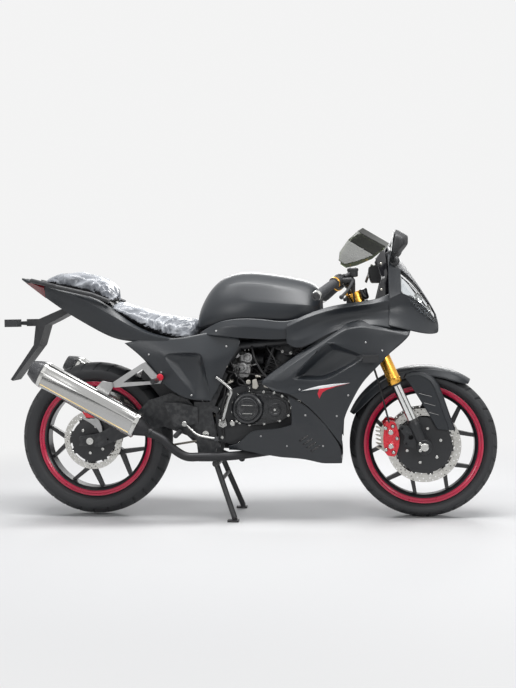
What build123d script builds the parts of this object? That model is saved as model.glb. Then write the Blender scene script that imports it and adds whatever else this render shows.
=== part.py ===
"""Sport bike on its centre stand: frame, engine, bodywork, steering, wheels and stands.

Millimetres. The model is laid out with x measured forward from the rear axle, y to the
bike's left and z up from the ground, and save() then slides it so that the origin is the
middle of its footprint.
"""
from build123d import *
from math import atan2, cos, degrees, radians, sin, sqrt, tan
import os

# ---------------------------------------------------------------- driving dimensions
WHEELBASE = 1320.0
RAKE = 23.7                    # steering axis and fork legs, degrees back from upright
FORK_OFFSET = 38.0             # legs ahead of the steering axis, square to it
FORK_HALF_SPAN = 98.0          # middle of each leg from the centre plane

RIM_FLANGE_R = 235.0           # 17 inch rims
FRONT_SIDEWALL = 55.0          # tyre above the rim flange
FRONT_TYRE_W = 112.0
REAR_SIDEWALL = 75.0
REAR_TYRE_W = 140.0
REAR_LIFT = 6.0                # the stand holds the rear tyre this far off the ground
RIM_WALL = 5.0
RIM_LIP = 21.0                 # depth of the painted lip, flange to barrel
RIM_DROP = 34.0                # flange to the bed that carries the spokes
SPOKE_COUNT = 5
FRONT_SPOKE_TURN = 27.0        # where the first spoke points, degrees above forward
REAR_SPOKE_TURN = 41.0
SPOKE_STEM_SHARE = 0.46        # stem of each forked spoke, as a share of hub to rim
SPOKE_FORK_ANGLE = 18.0        # each branch from its spoke's middle line, degrees

FRONT_DISC_R = 145.0
FRONT_DISC_Y = 63.0
REAR_DISC_R = 119.0
REAR_DISC_Y = -80.0
DISC_THICK = 4.5
FRONT_DISC_BAND = 28.0
REAR_DISC_BAND = 23.0

FORK_UPPER_R = 25.0
FORK_STANCHION_R = 18.0
FORK_LOWER_R = 22.5
STEM_R = 16.0
HEAD_TUBE_R = 30.0
HEAD_BORE_GAP = 1.5
CLAMP_THICK = 30.0
UPPER_CLAMP_Z = 836.0
LOWER_CLAMP_Z = 668.0
FORK_TOP_Z = 880.0
UPPER_LEG_END_Z = 536.0
STANCHION_END_Z = 384.0
BAR_R = 11.0
GRIP_R = 16.5

SKIN = 4.0                     # wall of the moulded body panels
PANEL_GAP = 1.5
STAND_TUBE_R = 11.0
PIPE_R = 17.0
FIT = 0.2                      # clearance where solids of one body lie face to face
AXLE_R = 8.0

FRONT_TYRE_R = RIM_FLANGE_R + FRONT_SIDEWALL
REAR_TYRE_R = RIM_FLANGE_R + REAR_SIDEWALL
FRONT_AXLE_X = WHEELBASE
FRONT_AXLE_Z = FRONT_TYRE_R
REAR_AXLE_Z = REAR_TYRE_R + REAR_LIFT
REAR_TIP_X = -350.0
ORIGIN_X = (WHEELBASE + FRONT_TYRE_R + REAR_TIP_X) / 2


# ---------------------------------------------------------------- making shapes
def rod(start, end, radius):
    """Round bar between two points."""
    a = Vector(*start)
    b = Vector(*end)
    return Solid.make_cylinder(radius, (b - a).length, Plane(origin=a, z_dir=(b - a)))


def ball(centre, radius):
    return Pos(*centre) * Sphere(radius)


def pipe(points, radius):
    """Bent round bar: straight lengths with a ball at each bend."""
    body = rod(points[0], points[1], radius)
    for k in range(1, len(points) - 1):
        body = body + ball(points[k], radius) + rod(points[k], points[k + 1], radius)
    return body


def plate(outline, y_from, y_to):
    """Flat plate that lies along the bike: outline in (x, z), thickness along y."""
    wire = Wire.make_polygon([Vector(x, y_from, z) for x, z in outline], close=True)
    return extrude(Face(wire), amount=y_to - y_from, dir=(0, 1, 0))


def block(x, y, z):
    """Box from three (low, high) pairs."""
    centre = ((x[0] + x[1]) / 2, (y[0] + y[1]) / 2, (z[0] + z[1]) / 2)
    return Pos(*centre) * Box(x[1] - x[0], y[1] - y[0], z[1] - z[0])


def skin_loft(sections):
    """Ruled body through closed polygons that have as many corners each."""
    faces = [Face(Wire.make_polygon([Vector(*p) for p in s], close=True)) for s in sections]
    return loft(faces, ruled=True)


def panel(rows, thick):
    """Moulded panel: each row is (x, [(y, z) from bottom to top]) of its outer face."""
    sections = []
    for x, line in rows:
        outer = [(x, y, z) for y, z in line]
        side = 1 if line[0][0] > 0 else -1
        inner = [(x, y - side * thick, z) for y, z in reversed(line)]
        sections.append(outer + inner)
    return skin_loft(sections)


def mirrored(shape):
    return mirror(shape, about=Plane.XZ)


def both_sides(shape):
    return Compound(shape.solids() + mirrored(shape).solids())


def gather(*shapes):
    """Separate solids that share a node."""
    return Compound([solid for shape in shapes for solid in shape.solids()])


def disc(centre, radius, y_from, y_to):
    x, z = centre
    return rod((x, y_from, z), (x, y_to, z), radius)


def ring(centre, outer, inner, y_from, y_to):
    over = 1.0
    low, high = min(y_from, y_to), max(y_from, y_to)
    return disc(centre, outer, low, high) - disc(centre, inner, low - over, high + over)


def lerp(low, high, share):
    return low + (high - low) * share


def table_value(table, at):
    """Straight-line value from a short table of (place, value)."""
    if at <= table[0][0]:
        return table[0][1]
    for (a, va), (b, vb) in zip(table, table[1:]):
        if at <= b:
            return lerp(va, vb, (at - a) / (b - a))
    return table[-1][1]


def save(shape, name):
    export_step(Pos(-ORIGIN_X, 0, 0) * Compound(shape.solids()), f"parts/{name}.step")


os.makedirs("parts", exist_ok=True)


# ---------------------------------------------------------------- wheels
def spin(profile, centre):
    """Turn an (y, r) outline about an axle that runs along y."""
    x, z = centre
    wire = Wire.make_polygon([Vector(x, y, z + r) for y, r in profile], close=True)
    return revolve(Face(wire), Axis((x, 0, z), (0, 1, 0)), 360)


def tyre(centre, radius, width):
    half = width / 2
    bead = half * 0.62
    bead_r = RIM_FLANGE_R - RIM_WALL
    profile = [
        (-bead, bead_r), (-bead, RIM_FLANGE_R + FIT), (-half * 0.93, RIM_FLANGE_R + 14), (-half, bead_r + (radius - bead_r) * 0.52),
        (-half * 0.88, radius - width * 0.17), (-half * 0.55, radius - width * 0.055),
        (-half * 0.2, radius - 0.8), (0, radius), (half * 0.2, radius - 0.8),
        (half * 0.55, radius - width * 0.055), (half * 0.88, radius - width * 0.17),
        (half, bead_r + (radius - bead_r) * 0.52), (half * 0.93, RIM_FLANGE_R + 14), (bead, RIM_FLANGE_R + FIT), (bead, bead_r),
    ]
    return spin(profile, centre)


def wheel(centre, width, hub_r, hub_half, first_turn):
    """Cast wheel: rim barrel with its two lips, hub and forked spokes in one piece."""
    half = width / 2 * 0.62 + RIM_WALL + FIT
    seat = RIM_FLANGE_R - RIM_WALL - FIT
    bed = RIM_FLANGE_R - RIM_DROP
    lip = RIM_FLANGE_R - RIM_LIP
    side = [(half - RIM_WALL, seat), (half - RIM_WALL, RIM_FLANGE_R - 1), (half, RIM_FLANGE_R - 1),
            (half - 1, RIM_FLANGE_R - 10), (half - 6, lip + 8), (half - 8, lip), (half - 20, bed)]
    other = [(-y, r) for y, r in reversed(side)]
    rim = spin(side + other, centre)
    hub = ring(centre, hub_r, AXLE_R + FIT, -hub_half, hub_half)
    body = rim + hub
    x, z = centre
    stem_r = lerp(hub_r, bed, SPOKE_STEM_SHARE)
    for k in range(SPOKE_COUNT):
        turn = radians(first_turn + k * 360 / SPOKE_COUNT)
        knee = (x + stem_r * cos(turn), z + stem_r * sin(turn))
        root = (x + (hub_r - 6) * cos(turn), z + (hub_r - 6) * sin(turn))
        body = body + spoke(root, knee, 34, 24, 15) + disc(knee, 12, -14, 14)
        for side in (-1, 1):
            out = turn + side * radians(SPOKE_FORK_ANGLE)
            tip = (x + (bed + 5) * cos(out), z + (bed + 5) * sin(out))
            body = body + spoke(knee, tip, 18, 14, 12)
    return body


def spoke(start, end, wide_start, wide_end, half_thick):
    """Flat tapering bar between two (x, z) points."""
    along = Vector(end[0] - start[0], 0, end[1] - start[1]).normalized()
    across = Vector(-along.Z, 0, along.X)
    corners = []
    for (px, pz), wide, sign in ((start, wide_start, 1), (end, wide_end, 1),
                                 (end, wide_end, -1), (start, wide_start, -1)):
        corners.append((px + across.X * wide / 2 * sign, pz + across.Z * wide / 2 * sign))
    return plate(corners, -half_thick, half_thick)


front_axle = (FRONT_AXLE_X, FRONT_AXLE_Z)
rear_axle = (0.0, REAR_AXLE_Z)
FRONT_HUB_R = 46.0
FRONT_HUB_HALF = FRONT_DISC_Y - DISC_THICK / 2 - 1
REAR_HUB_R = 52.0
REAR_HUB_HALF = 62.0

save(tyre(front_axle, FRONT_TYRE_R, FRONT_TYRE_W), "front_tyre")
front_casting = wheel(front_axle, FRONT_TYRE_W, FRONT_HUB_R, FRONT_HUB_HALF, FRONT_SPOKE_TURN)
save(front_casting, "front_wheel_casting")
save(tyre(rear_axle, REAR_TYRE_R, REAR_TYRE_W), "rear_tyre")
rear_casting = wheel(rear_axle, REAR_TYRE_W, REAR_HUB_R, REAR_HUB_HALF, REAR_SPOKE_TURN)
save(rear_casting, "rear_wheel_casting")

CARRIER_ARMS = 10


def disc_rotor(centre, radius, band, y_mid, carrier_r, hub_y):
    """Friction ring, the arms of its carrier and the flange that bolts to the hub."""
    low = y_mid - DISC_THICK / 2
    high = y_mid + DISC_THICK / 2
    body = ring(centre, radius, radius - band, low, high)
    inside = min(hub_y, low) if y_mid > 0 else low
    outside = high if y_mid > 0 else max(hub_y, high)
    body = body + ring(centre, carrier_r, AXLE_R + 14, inside, outside)
    x, z = centre
    for k in range(CARRIER_ARMS):
        turn = radians(30 + k * 360 / CARRIER_ARMS)
        tip = radius - band + 5
        start = (x + (carrier_r - 4) * cos(turn), z + (carrier_r - 4) * sin(turn))
        end = (x + tip * cos(turn), z + tip * sin(turn))
        arm = spoke(start, end, 26, 20, DISC_THICK / 2)
        body = body + Pos(0, y_mid, 0) * arm
    return body


front_disc = disc_rotor(front_axle, FRONT_DISC_R, FRONT_DISC_BAND, -FRONT_DISC_Y, 66,
                        -(FRONT_HUB_HALF + FIT))
save(both_sides(front_disc), "front_discs")
rear_rotor = disc_rotor(rear_axle, REAR_DISC_R, REAR_DISC_BAND, REAR_DISC_Y, 60,
                        -(REAR_HUB_HALF + FIT))
save(rear_rotor, "rear_disc")

SPROCKET_R = 84.0
CHAIN_Y = 86.0
SPROCKET_THICK = 6.0
sprocket = ring(rear_axle, SPROCKET_R, AXLE_R + 14, CHAIN_Y - SPROCKET_THICK / 2,
                CHAIN_Y + SPROCKET_THICK / 2)
sprocket = sprocket + ring(rear_axle, 50, AXLE_R + 14, REAR_HUB_HALF + FIT, CHAIN_Y)
save(sprocket, "rear_sprocket")


# ---------------------------------------------------------------- fork and steering
def leg_x(z):
    """Where a fork leg's middle line is at height z."""
    return FRONT_AXLE_X - (z - FRONT_AXLE_Z) * tan(radians(RAKE))


def axis_x(z):
    """Where the steering axis is at height z."""
    return leg_x(z) - FORK_OFFSET / cos(radians(RAKE))


def along_leg(y, z_top, z_low, radius):
    return rod((leg_x(z_top), y, z_top), (leg_x(z_low), y, z_low), radius)


upper = along_leg(-FORK_HALF_SPAN, FORK_TOP_Z, UPPER_LEG_END_Z, FORK_UPPER_R)
save(both_sides(upper), "fork_uppers")
stanchion = along_leg(-FORK_HALF_SPAN, UPPER_LEG_END_Z - FIT, STANCHION_END_Z, FORK_STANCHION_R)
save(both_sides(stanchion), "fork_stanchions")

lower = along_leg(-FORK_HALF_SPAN, STANCHION_END_Z - FIT, FRONT_AXLE_Z + 8, FORK_LOWER_R)
lower = lower + disc(front_axle, 29, -FORK_HALF_SPAN - 24, -FORK_HALF_SPAN + 22)
mount = [(leg_x(360), 360), (leg_x(360) - 66, 366), (leg_x(300) - 78, 300), (leg_x(290), 274)]
lower = lower + plate(mount, -FORK_HALF_SPAN - 6, -FORK_HALF_SPAN + 8)
lower = lower - disc(front_axle, AXLE_R + FIT, -FORK_HALF_SPAN - 40, 0)
save(both_sides(lower), "fork_lowers")
axle = disc(front_axle, AXLE_R, -FORK_HALF_SPAN - 34, FORK_HALF_SPAN + 34)
for side in (-1, 1):
    face = side * (FORK_HALF_SPAN + 24 + FIT)
    axle = axle + disc(front_axle, 14, face, side * (FORK_HALF_SPAN + 36))
save(axle, "front_axle")


def clamp(z_mid):
    """Fork clamp plate, square to the legs, with the legs' holes and the stem's boss."""
    x_leg = leg_x(z_mid)
    tilt = Plane(origin=(x_leg, 0, z_mid), x_dir=(cos(radians(RAKE)), 0, sin(radians(RAKE))),
                 z_dir=(-sin(radians(RAKE)), 0, cos(radians(RAKE))))
    eye = FORK_UPPER_R + 11
    body = Solid.make_cylinder(STEM_R + 16, CLAMP_THICK, Plane.XY).moved(
        Location((-FORK_OFFSET, 0, -CLAMP_THICK / 2)))
    for side in (-1, 1):
        body = body + Pos(0, side * FORK_HALF_SPAN, 0) * Cylinder(eye, CLAMP_THICK)
        arm = Polyline((-FORK_OFFSET - 24, 0), (-24, side * FORK_HALF_SPAN),
                       (26, side * FORK_HALF_SPAN), (-FORK_OFFSET + 34, 0), close=True)
        body = body + Pos(0, 0, -CLAMP_THICK / 2) * extrude(make_face(arm), CLAMP_THICK)
    for side in (-1, 1):
        hole = Cylinder(FORK_UPPER_R + FIT, CLAMP_THICK * 2)
        body = body - Pos(0, side * FORK_HALF_SPAN, 0) * hole
    return tilt.location * body


CLAMP_DROP = FORK_OFFSET * sin(radians(RAKE))    # clamp middle at the stem, below z_mid
STEM_TOP_Z = UPPER_CLAMP_Z - CLAMP_DROP
STEM_LOW_Z = LOWER_CLAMP_Z - CLAMP_DROP
stem_top = (axis_x(STEM_TOP_Z), 0, STEM_TOP_Z)
stem_low = (axis_x(STEM_LOW_Z), 0, STEM_LOW_Z)
stem = rod(stem_low, stem_top, STEM_R)
save(clamp(UPPER_CLAMP_Z) + clamp(LOWER_CLAMP_Z) + stem, "fork_clamps")

# Handlebars: each side rises from the upper clamp, then runs out, back and down.
BAR_ROOT = (leg_x(900) - 8, -56.0, 936.0)
BAR_KNEE = (1014.0, -176.0, 950.0)
BAR_END = (920.0, -350.0, 876.0)
GRIP_SHARE = 0.32               # where the grip starts between knee and end
bar = pipe([BAR_ROOT, BAR_KNEE, BAR_END], BAR_R)


def on_bar(share):
    return tuple(lerp(a, b, share) for a, b in zip(BAR_KNEE, BAR_END))


grip = rod(on_bar(GRIP_SHARE), on_bar(0.93), GRIP_R) + rod(on_bar(0.945), on_bar(1.06), GRIP_R + 1)
grip = grip - rod(BAR_KNEE, BAR_END, BAR_R + FIT / 2)
save(both_sides(grip), "grips")
switch = rod(on_bar(0.1), on_bar(0.29), 21) - rod(on_bar(0), on_bar(1), BAR_R + FIT / 2)
riser = block((BAR_ROOT[0] - 20, BAR_ROOT[0] + 16), (-70, -42), (UPPER_CLAMP_Z, 956))
riser = riser - clamp(UPPER_CLAMP_Z) + bar
save(both_sides(riser), "handlebars")
lever = pipe([on_bar(0.2), (1050, -215, 938), (1012, -360, 870)], 6)
lever = lever - rod(on_bar(0), on_bar(1), BAR_R + FIT / 2)
reservoir = Pos(1052, -176, 966) * Cylinder(20, 34) + rod((1052, -176, 955), on_bar(0.14), 6)
reservoir = reservoir - rod(on_bar(0), on_bar(1), BAR_R + FIT / 2)
save(gather(switch + lever + reservoir, mirrored(switch + lever)), "hand_controls")

# Calipers, radial, behind the fork legs.
CALIPER_X = FRONT_AXLE_X - 124
CALIPER_Z = FRONT_AXLE_Z + 26
CALIPER_GAP = 2.0
CALIPER_FINS = 6
CALIPER_FIN_PITCH = 16.0
caliper = plate([(CALIPER_X - 22, CALIPER_Z + 72), (CALIPER_X + 16, CALIPER_Z + 66),
                 (CALIPER_X + 30, CALIPER_Z), (CALIPER_X + 14, CALIPER_Z - 66),
                 (CALIPER_X - 24, CALIPER_Z - 60), (CALIPER_X - 34, CALIPER_Z)],
                -FRONT_DISC_Y - 27, -FRONT_DISC_Y + 14)
for k in range(CALIPER_FINS):
    low = CALIPER_Z - 46 + k * CALIPER_FIN_PITCH
    fin = plate([(CALIPER_X - 30, low), (CALIPER_X - 62, low + 12), (CALIPER_X - 64, low + 17),
                 (CALIPER_X - 30, low + 7)], -FRONT_DISC_Y - 24, -FRONT_DISC_Y + 10)
    caliper = caliper + fin
slot = disc(front_axle, FRONT_DISC_R + 4, -FRONT_DISC_Y - DISC_THICK / 2 - CALIPER_GAP,
            -FRONT_DISC_Y + DISC_THICK / 2 + CALIPER_GAP)
save(both_sides(caliper - slot), "front_calipers")

# Brake hoses: straight runs joined by tangent arcs, held by the fork all the way.
HOSE_R = 3.5
HOSE_TOP = (1052.0, -176.0, 947.0)
HOSE_ROUTE = [(CALIPER_X - 10, -88, CALIPER_Z + 66), (CALIPER_X - 22, -84, CALIPER_Z + 112),
              (1152, -84, 520), (1128, -100, 600), (1092, -122, 680), (1072, -146, 760),
              (1058, -152, 850), (1052, -172, 905), HOSE_TOP]


def hose(points, radius):
    """Round hose along straight runs with an arc at each inner point."""
    starts = [Vector(*points[0])]
    body = None
    for k in range(1, len(points) - 1):
        here = Vector(*points[k])
        back = (Vector(*points[k - 1]) - here)
        ahead = (Vector(*points[k + 1]) - here)
        reach = 0.45 * min(back.length, ahead.length)
        arc_in = here + back.normalized() * reach
        arc_out = here + ahead.normalized() * reach
        normal = back.cross(ahead).normalized()
        turn = 180 - back.get_angle(ahead)
        bend_r = reach / tan(radians(turn / 2))
        towards = (ahead.normalized() + back.normalized()).normalized()
        centre = here + towards * (bend_r / cos(radians(turn / 2)))
        section = Face(Wire.make_circle(radius, Plane(origin=arc_in, z_dir=back)))
        arc = revolve(section, Axis(centre, normal * -1), turn)
        run = rod(tuple(starts[-1]), tuple(arc_in), radius)
        body = run + arc if body is None else body + run + arc
        starts.append(arc_out)
    return body + rod(tuple(starts[-1]), points[-1], radius)


brake_hose = hose(HOSE_ROUTE, HOSE_R)
save(both_sides(brake_hose - caliper), "brake_hoses")

# Front mudguard: a crowned band round the tyre and a blade down each leg.
GUARD_R = FRONT_TYRE_R + 24
GUARD_WALL = 4.0
GUARD_FRONT = 54.0
GUARD_REAR = 156.0
guard_half = FRONT_TYRE_W / 2 + 14
crown = [(-guard_half, GUARD_R - 40), (-guard_half + 6, GUARD_R - 12), (-26, GUARD_R - 1),
         (26, GUARD_R - 1), (guard_half - 6, GUARD_R - 12), (guard_half, GUARD_R - 40)]
inner = [(y * (1 - GUARD_WALL / guard_half), r - GUARD_WALL) for y, r in reversed(crown)]
x, z = front_axle
wire = Wire.make_polygon([Vector(x + r, y, z) for y, r in crown + inner], close=True)
band = revolve(Face(wire), Axis((x, 0, z), (0, -1, 0)), GUARD_REAR - GUARD_FRONT)
guard = band.rotate(Axis((x, 0, z), (0, -1, 0)), GUARD_FRONT)


def from_axle(radius, turn):
    """Point at a radius and turn about the front axle, as (x, z)."""
    return (FRONT_AXLE_X + radius * cos(radians(turn)), FRONT_AXLE_Z + radius * sin(radians(turn)))


BLADE_TOP_R = GUARD_R - 34
blade = [from_axle(BLADE_TOP_R + 14, 108), from_axle(BLADE_TOP_R + 8, 94), from_axle(BLADE_TOP_R - 6, 84),
         from_axle(BLADE_TOP_R - 48, 74), from_axle(176, 58), from_axle(135, 27), from_axle(84, 52),
         from_axle(140, 86), from_axle(BLADE_TOP_R - 44, 104)]
guard = guard + plate(blade, -guard_half - 3, -guard_half + 1)
guard = guard + plate(blade, guard_half - 1, guard_half + 3)
save(guard, "front_mudguard")


# ---------------------------------------------------------------- frame
HEAD_GAP = 3.0                 # steering head to each clamp
HEAD_TOP_Z = STEM_TOP_Z - (CLAMP_THICK / 2 + HEAD_GAP) * cos(radians(RAKE))
HEAD_LOW_Z = STEM_LOW_Z + (CLAMP_THICK / 2 + HEAD_GAP) * cos(radians(RAKE))
head = rod((axis_x(HEAD_LOW_Z), 0, HEAD_LOW_Z), (axis_x(HEAD_TOP_Z), 0, HEAD_TOP_Z), HEAD_TUBE_R)
stem_clearance = rod(stem_low, stem_top, STEM_R + HEAD_BORE_GAP)
head = head - stem_clearance
SPAR_R = 17.0
SPAR_Y = 74.0
PIVOT = (470.0, 345.0)
PIVOT_PLATE_Y = 128.0
ENGINE_HALF = 118.0
spar = pipe([(axis_x(740), -6, 740), (axis_x(740) - 90, -SPAR_Y, 720), (600, -SPAR_Y - 8, 690),
             (505, -PIVOT_PLATE_Y + 10, 560)], SPAR_R)
pivot_plate = plate([(424, 471), (487, 471), (540, 590), (560, 580), (495, 429), (516, 319),
                     (500, 236), (440, 236), (430, 330)], -PIVOT_PLATE_Y - 6, -PIVOT_PLATE_Y + 6)
pivot_plate = pivot_plate - disc(PIVOT, AXLE_R + FIT, -PIVOT_PLATE_Y - 20, -PIVOT_PLATE_Y + 20)
for boss in ((512, 300), (510, 440)):
    pivot_plate = pivot_plate + disc(boss, 13, -PIVOT_PLATE_Y - 6, -ENGINE_HALF - FIT)
SIDE_PIVOT = Vector(575, 172, 212)
SIDE_AXIS = Vector(0, 0.932, 0.362).normalized()
SIDE_LEN = 215.0
SIDE_PIN_R = 5.0
lug_in = SIDE_PIVOT - SIDE_AXIS * 22
lug = rod(tuple(lug_in), tuple(SIDE_PIVOT - SIDE_AXIS * 11), 13)
lug = lug + rod(tuple(lug_in), tuple(SIDE_PIVOT + SIDE_AXIS * 16), SIDE_PIN_R)
lug = lug + rod(tuple(SIDE_PIVOT + SIDE_AXIS * 11), tuple(SIDE_PIVOT + SIDE_AXIS * 17), 9)
lug = lug + rod(tuple(SIDE_PIVOT - SIDE_AXIS * 17), (482, PIVOT_PLATE_Y, 246), 7)
save(gather(pivot_plate, mirrored(pivot_plate) + lug), "frame_pivot_plates")
spar = spar - pivot_plate

# ---------------------------------------------------------------- engine
crankcase = plate([(505, 430), (560, 520), (700, 560), (840, 480), (850, 380), (800, 314),
                   (640, 292), (520, 312)], -ENGINE_HALF, ENGINE_HALF)
SPROCKET_BAY = (600.0, 76.0)    # the case stops short of these on the left, for the chain
crankcase = crankcase - block((480, SPROCKET_BAY[0]), (SPROCKET_BAY[1], ENGINE_HALF + 1), (250, 600))
save(crankcase, "engine_crankcase")
down_tube = pipe([(axis_x(710), 0, 710), (925, 0, 560), (905, 0, 420), (835, 0, 372)], 19)
save(head + spar + mirrored(spar) + (down_tube - crankcase) - stem_clearance, "frame")
CYL_TILT = 20.0
CYL_BASE = (738.0, 535.0)


def on_cylinder(up, across=0):
    """Point of the cylinder's middle line, in (x, z)."""
    lean = radians(CYL_TILT)
    return (CYL_BASE[0] + up * sin(lean) + across * cos(lean),
            CYL_BASE[1] + up * cos(lean) - across * sin(lean))


cylinder = None
FIN_COUNT = 6
FIN_PITCH = 14.0
FIN_THICK = 5.0
core = [on_cylinder(0, -52), on_cylinder(132, -52), on_cylinder(132, 52), on_cylinder(0, 52)]
cylinder = plate(core, -50, 50)
for k in range(FIN_COUNT):
    up = 18 + k * FIN_PITCH
    fin = [on_cylinder(up, -70), on_cylinder(up + FIN_THICK, -70),
           on_cylinder(up + FIN_THICK, 70), on_cylinder(up, 70)]
    cylinder = cylinder + plate(fin, -66, 66)
CYL_TALL = 132.0
HEAD_TALL = 54.0
HEAD_HALF = 54.0
head_top = CYL_TALL + HEAD_TALL
head_outline = [on_cylinder(CYL_TALL, -62), on_cylinder(head_top - 12, -62),
                on_cylinder(head_top, -40), on_cylinder(head_top, 40),
                on_cylinder(head_top - 12, 62), on_cylinder(CYL_TALL, 62)]
engine_head = plate(head_outline, -HEAD_HALF, HEAD_HALF)
save((cylinder - crankcase) + engine_head, "engine_cylinder")

CLUTCH = (638.0, 446.0)
clutch = disc(CLUTCH, 66, -118 - FIT, -160) + disc(CLUTCH, 46, -160, -168)
clutch = clutch + plate([(600, 400), (640, 380), (760, 395), (800, 420), (805, 470), (740, 505),
                         (640, 500)], -148, -118 - FIT)
GENERATOR = (660.0, 440.0)
generator = disc(GENERATOR, 64, 118 + FIT, 150) + disc(GENERATOR, 40, 150, 158)
generator = generator + plate([(530, 330), (540, 310), (600, 310), (640, 400), (610, 480),
                               (540, 470), (530, 420)], ENGINE_HALF + FIT, ENGINE_HALF + 14)
save(gather(clutch, generator), "engine_covers")
carb = block((560, 640), (-52, 44), (596, 660)) + disc((600, 582), 30, -34, 34)
carb = carb + rod((640, 0, 628), (686, 0, 628), 24)
save(carb, "carburettor")
kick = pipe([(537, -128, 392), (551, -172, 430), (578, -178, 519), (521, -186, 572)], 8)
kick = kick + rod((537, -118 - FIT, 392), (537, -150, 392), 17)

# ---------------------------------------------------------------- exhaust
CAN_AXIS_A = Vector(218, -230, 388)      # front end of the can's middle line
CAN_AXIS_B = Vector(-159, -230, 594)
CAN_TALL = 104.0
CAN_WIDE = 92.0
CAP_LEN = 46.0
can_dir = (CAN_AXIS_B - CAN_AXIS_A).normalized()
can_plane = Plane(origin=CAN_AXIS_A, x_dir=(0, 1, 0), z_dir=can_dir)
can_len = (CAN_AXIS_B - CAN_AXIS_A).length
can_face = can_plane.location * RectangleRounded(CAN_WIDE, CAN_TALL, CAN_WIDE * 0.45)
can = extrude(can_face, can_len)
inlet = Solid.make_cone(CAN_WIDE * 0.42, PIPE_R + 2, 46, Plane(origin=CAN_AXIS_A, z_dir=-can_dir))
can = can + inlet
cap_face = RectangleRounded(CAN_WIDE - 6, CAN_TALL - 8, CAN_WIDE * 0.42)
cap_end = RectangleRounded(CAN_WIDE - 30, CAN_TALL - 40, (CAN_WIDE - 30) * 0.42)
end_plane = Plane(origin=CAN_AXIS_B, x_dir=(0, 1, 0), z_dir=can_dir)
cap = loft([end_plane.location * cap_face, end_plane.offset(CAP_LEN).location * cap_end], ruled=True)
cap = cap - Solid.make_cylinder(20, 60, end_plane.offset(10))
PORT = on_cylinder(160, 62 + FIT)
PIPE_LOW_Z = 262.0
CONE_LEN = 46.0
pipe_end = CAN_AXIS_A - can_dir * (CONE_LEN + FIT)
pipe_bend = CAN_AXIS_A - can_dir * 112
header = pipe([(PORT[0], -30, PORT[1]), (915, -45, 630), (935, -45, 420), (880, -45, 290),
               (780, -20, 280), (720, 0, PIPE_LOW_Z)], PIPE_R)
branch = pipe([(720, 0, PIPE_LOW_Z), (690, -50, PIPE_LOW_Z), (590, -158, PIPE_LOW_Z),
               (510, -186, PIPE_LOW_Z), (388, -205, PIPE_LOW_Z), tuple(pipe_bend), tuple(pipe_end)],
              PIPE_R)
save((header - engine_head) + branch + mirrored(branch), "exhaust_pipes")
save(both_sides(can + cap), "mufflers")
bracket = plate([(98, 545), (120, 560), (224, 625), (240, 632), (305, 560), (300, 548), (118, 533)],
                -176, -164)
bracket = bracket - plate([(150, 552), (228, 606), (272, 557)], -190, -150)
hanger = plate([(30, 520), (70, 560), (110, 552), (112, 536), (92, 500), (50, 480)], -186, -176 - FIT)
save(gather(both_sides(bracket), both_sides(hanger - can)), "pillion_brackets")

# ---------------------------------------------------------------- swingarm and rear
ARM_Y = 108.0
arm_side = plate([(-48, 332), (30, 345), (180, 420), (240, 478), (330, 505), (395, 480), (495, 372),
                  (495, 322), (440, 318), (300, 372), (200, 352), (40, 292), (-48, 296)],
                 -ARM_Y - 10, -ARM_Y + 10)
arm_side = arm_side - disc(rear_axle, AXLE_R + FIT, -ARM_Y - 20, -ARM_Y + 20)
arm_side = arm_side + disc(PIVOT, 24, -ARM_Y - 10, 0)
arm_side = arm_side - disc(PIVOT, AXLE_R + FIT, -ARM_Y - 20, 1)
SPOOL = (70.0, 322.0)          # threaded holes for paddock-stand bobbins, (x, z)
SPOOL_R = 4.0
SPOOL_DEPTH = 14.0
arm_side = arm_side - disc(SPOOL, SPOOL_R, -ARM_Y - 11, -ARM_Y - 10 + SPOOL_DEPTH)
cross = block((345, 385), (-ARM_Y + 10, ARM_Y - 10), (414, 474))
swingarm = arm_side + cross + mirrored(arm_side)
save(swingarm, "swingarm")
rear_pin = disc(rear_axle, AXLE_R, -ARM_Y - 26, ARM_Y + 26)
rear_pin = rear_pin + disc(rear_axle, 14, -ARM_Y - 24, -ARM_Y - 10 - FIT)
rear_pin = rear_pin + disc(rear_axle, 14, ARM_Y + 10 + FIT, ARM_Y + 24)
rear_pin = gather(rear_pin, disc(PIVOT, AXLE_R, -PIVOT_PLATE_Y - 16, PIVOT_PLATE_Y + 16)
                  + disc(PIVOT, 13, -PIVOT_PLATE_Y - 16, -PIVOT_PLATE_Y - 6 - FIT)
                  + disc(PIVOT, 13, PIVOT_PLATE_Y + 6 + FIT, PIVOT_PLATE_Y + 16))
save(rear_pin, "swingarm_shafts")
shock = rod((365, 0, 480), (420, 0, 640), 24)
save(shock - swingarm, "rear_shock")
RC = (0.0, REAR_AXLE_Z + REAR_DISC_R - 12)
rear_caliper = block((-40, 34), (REAR_DISC_Y - 18, REAR_DISC_Y + 12), (RC[1] - 22, RC[1] + 30))
rear_caliper = rear_caliper - disc(rear_axle, REAR_DISC_R + 4, REAR_DISC_Y - 4.5, REAR_DISC_Y + 4.5)
save(rear_caliper, "rear_caliper")

# Drive chain, upper and lower runs round both sprockets, as one flat loop.
FRONT_SPROCKET = (545.0, 352.0)
FRONT_SPROCKET_R = 34.0


CHAIN_HALF = 6.0


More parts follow.
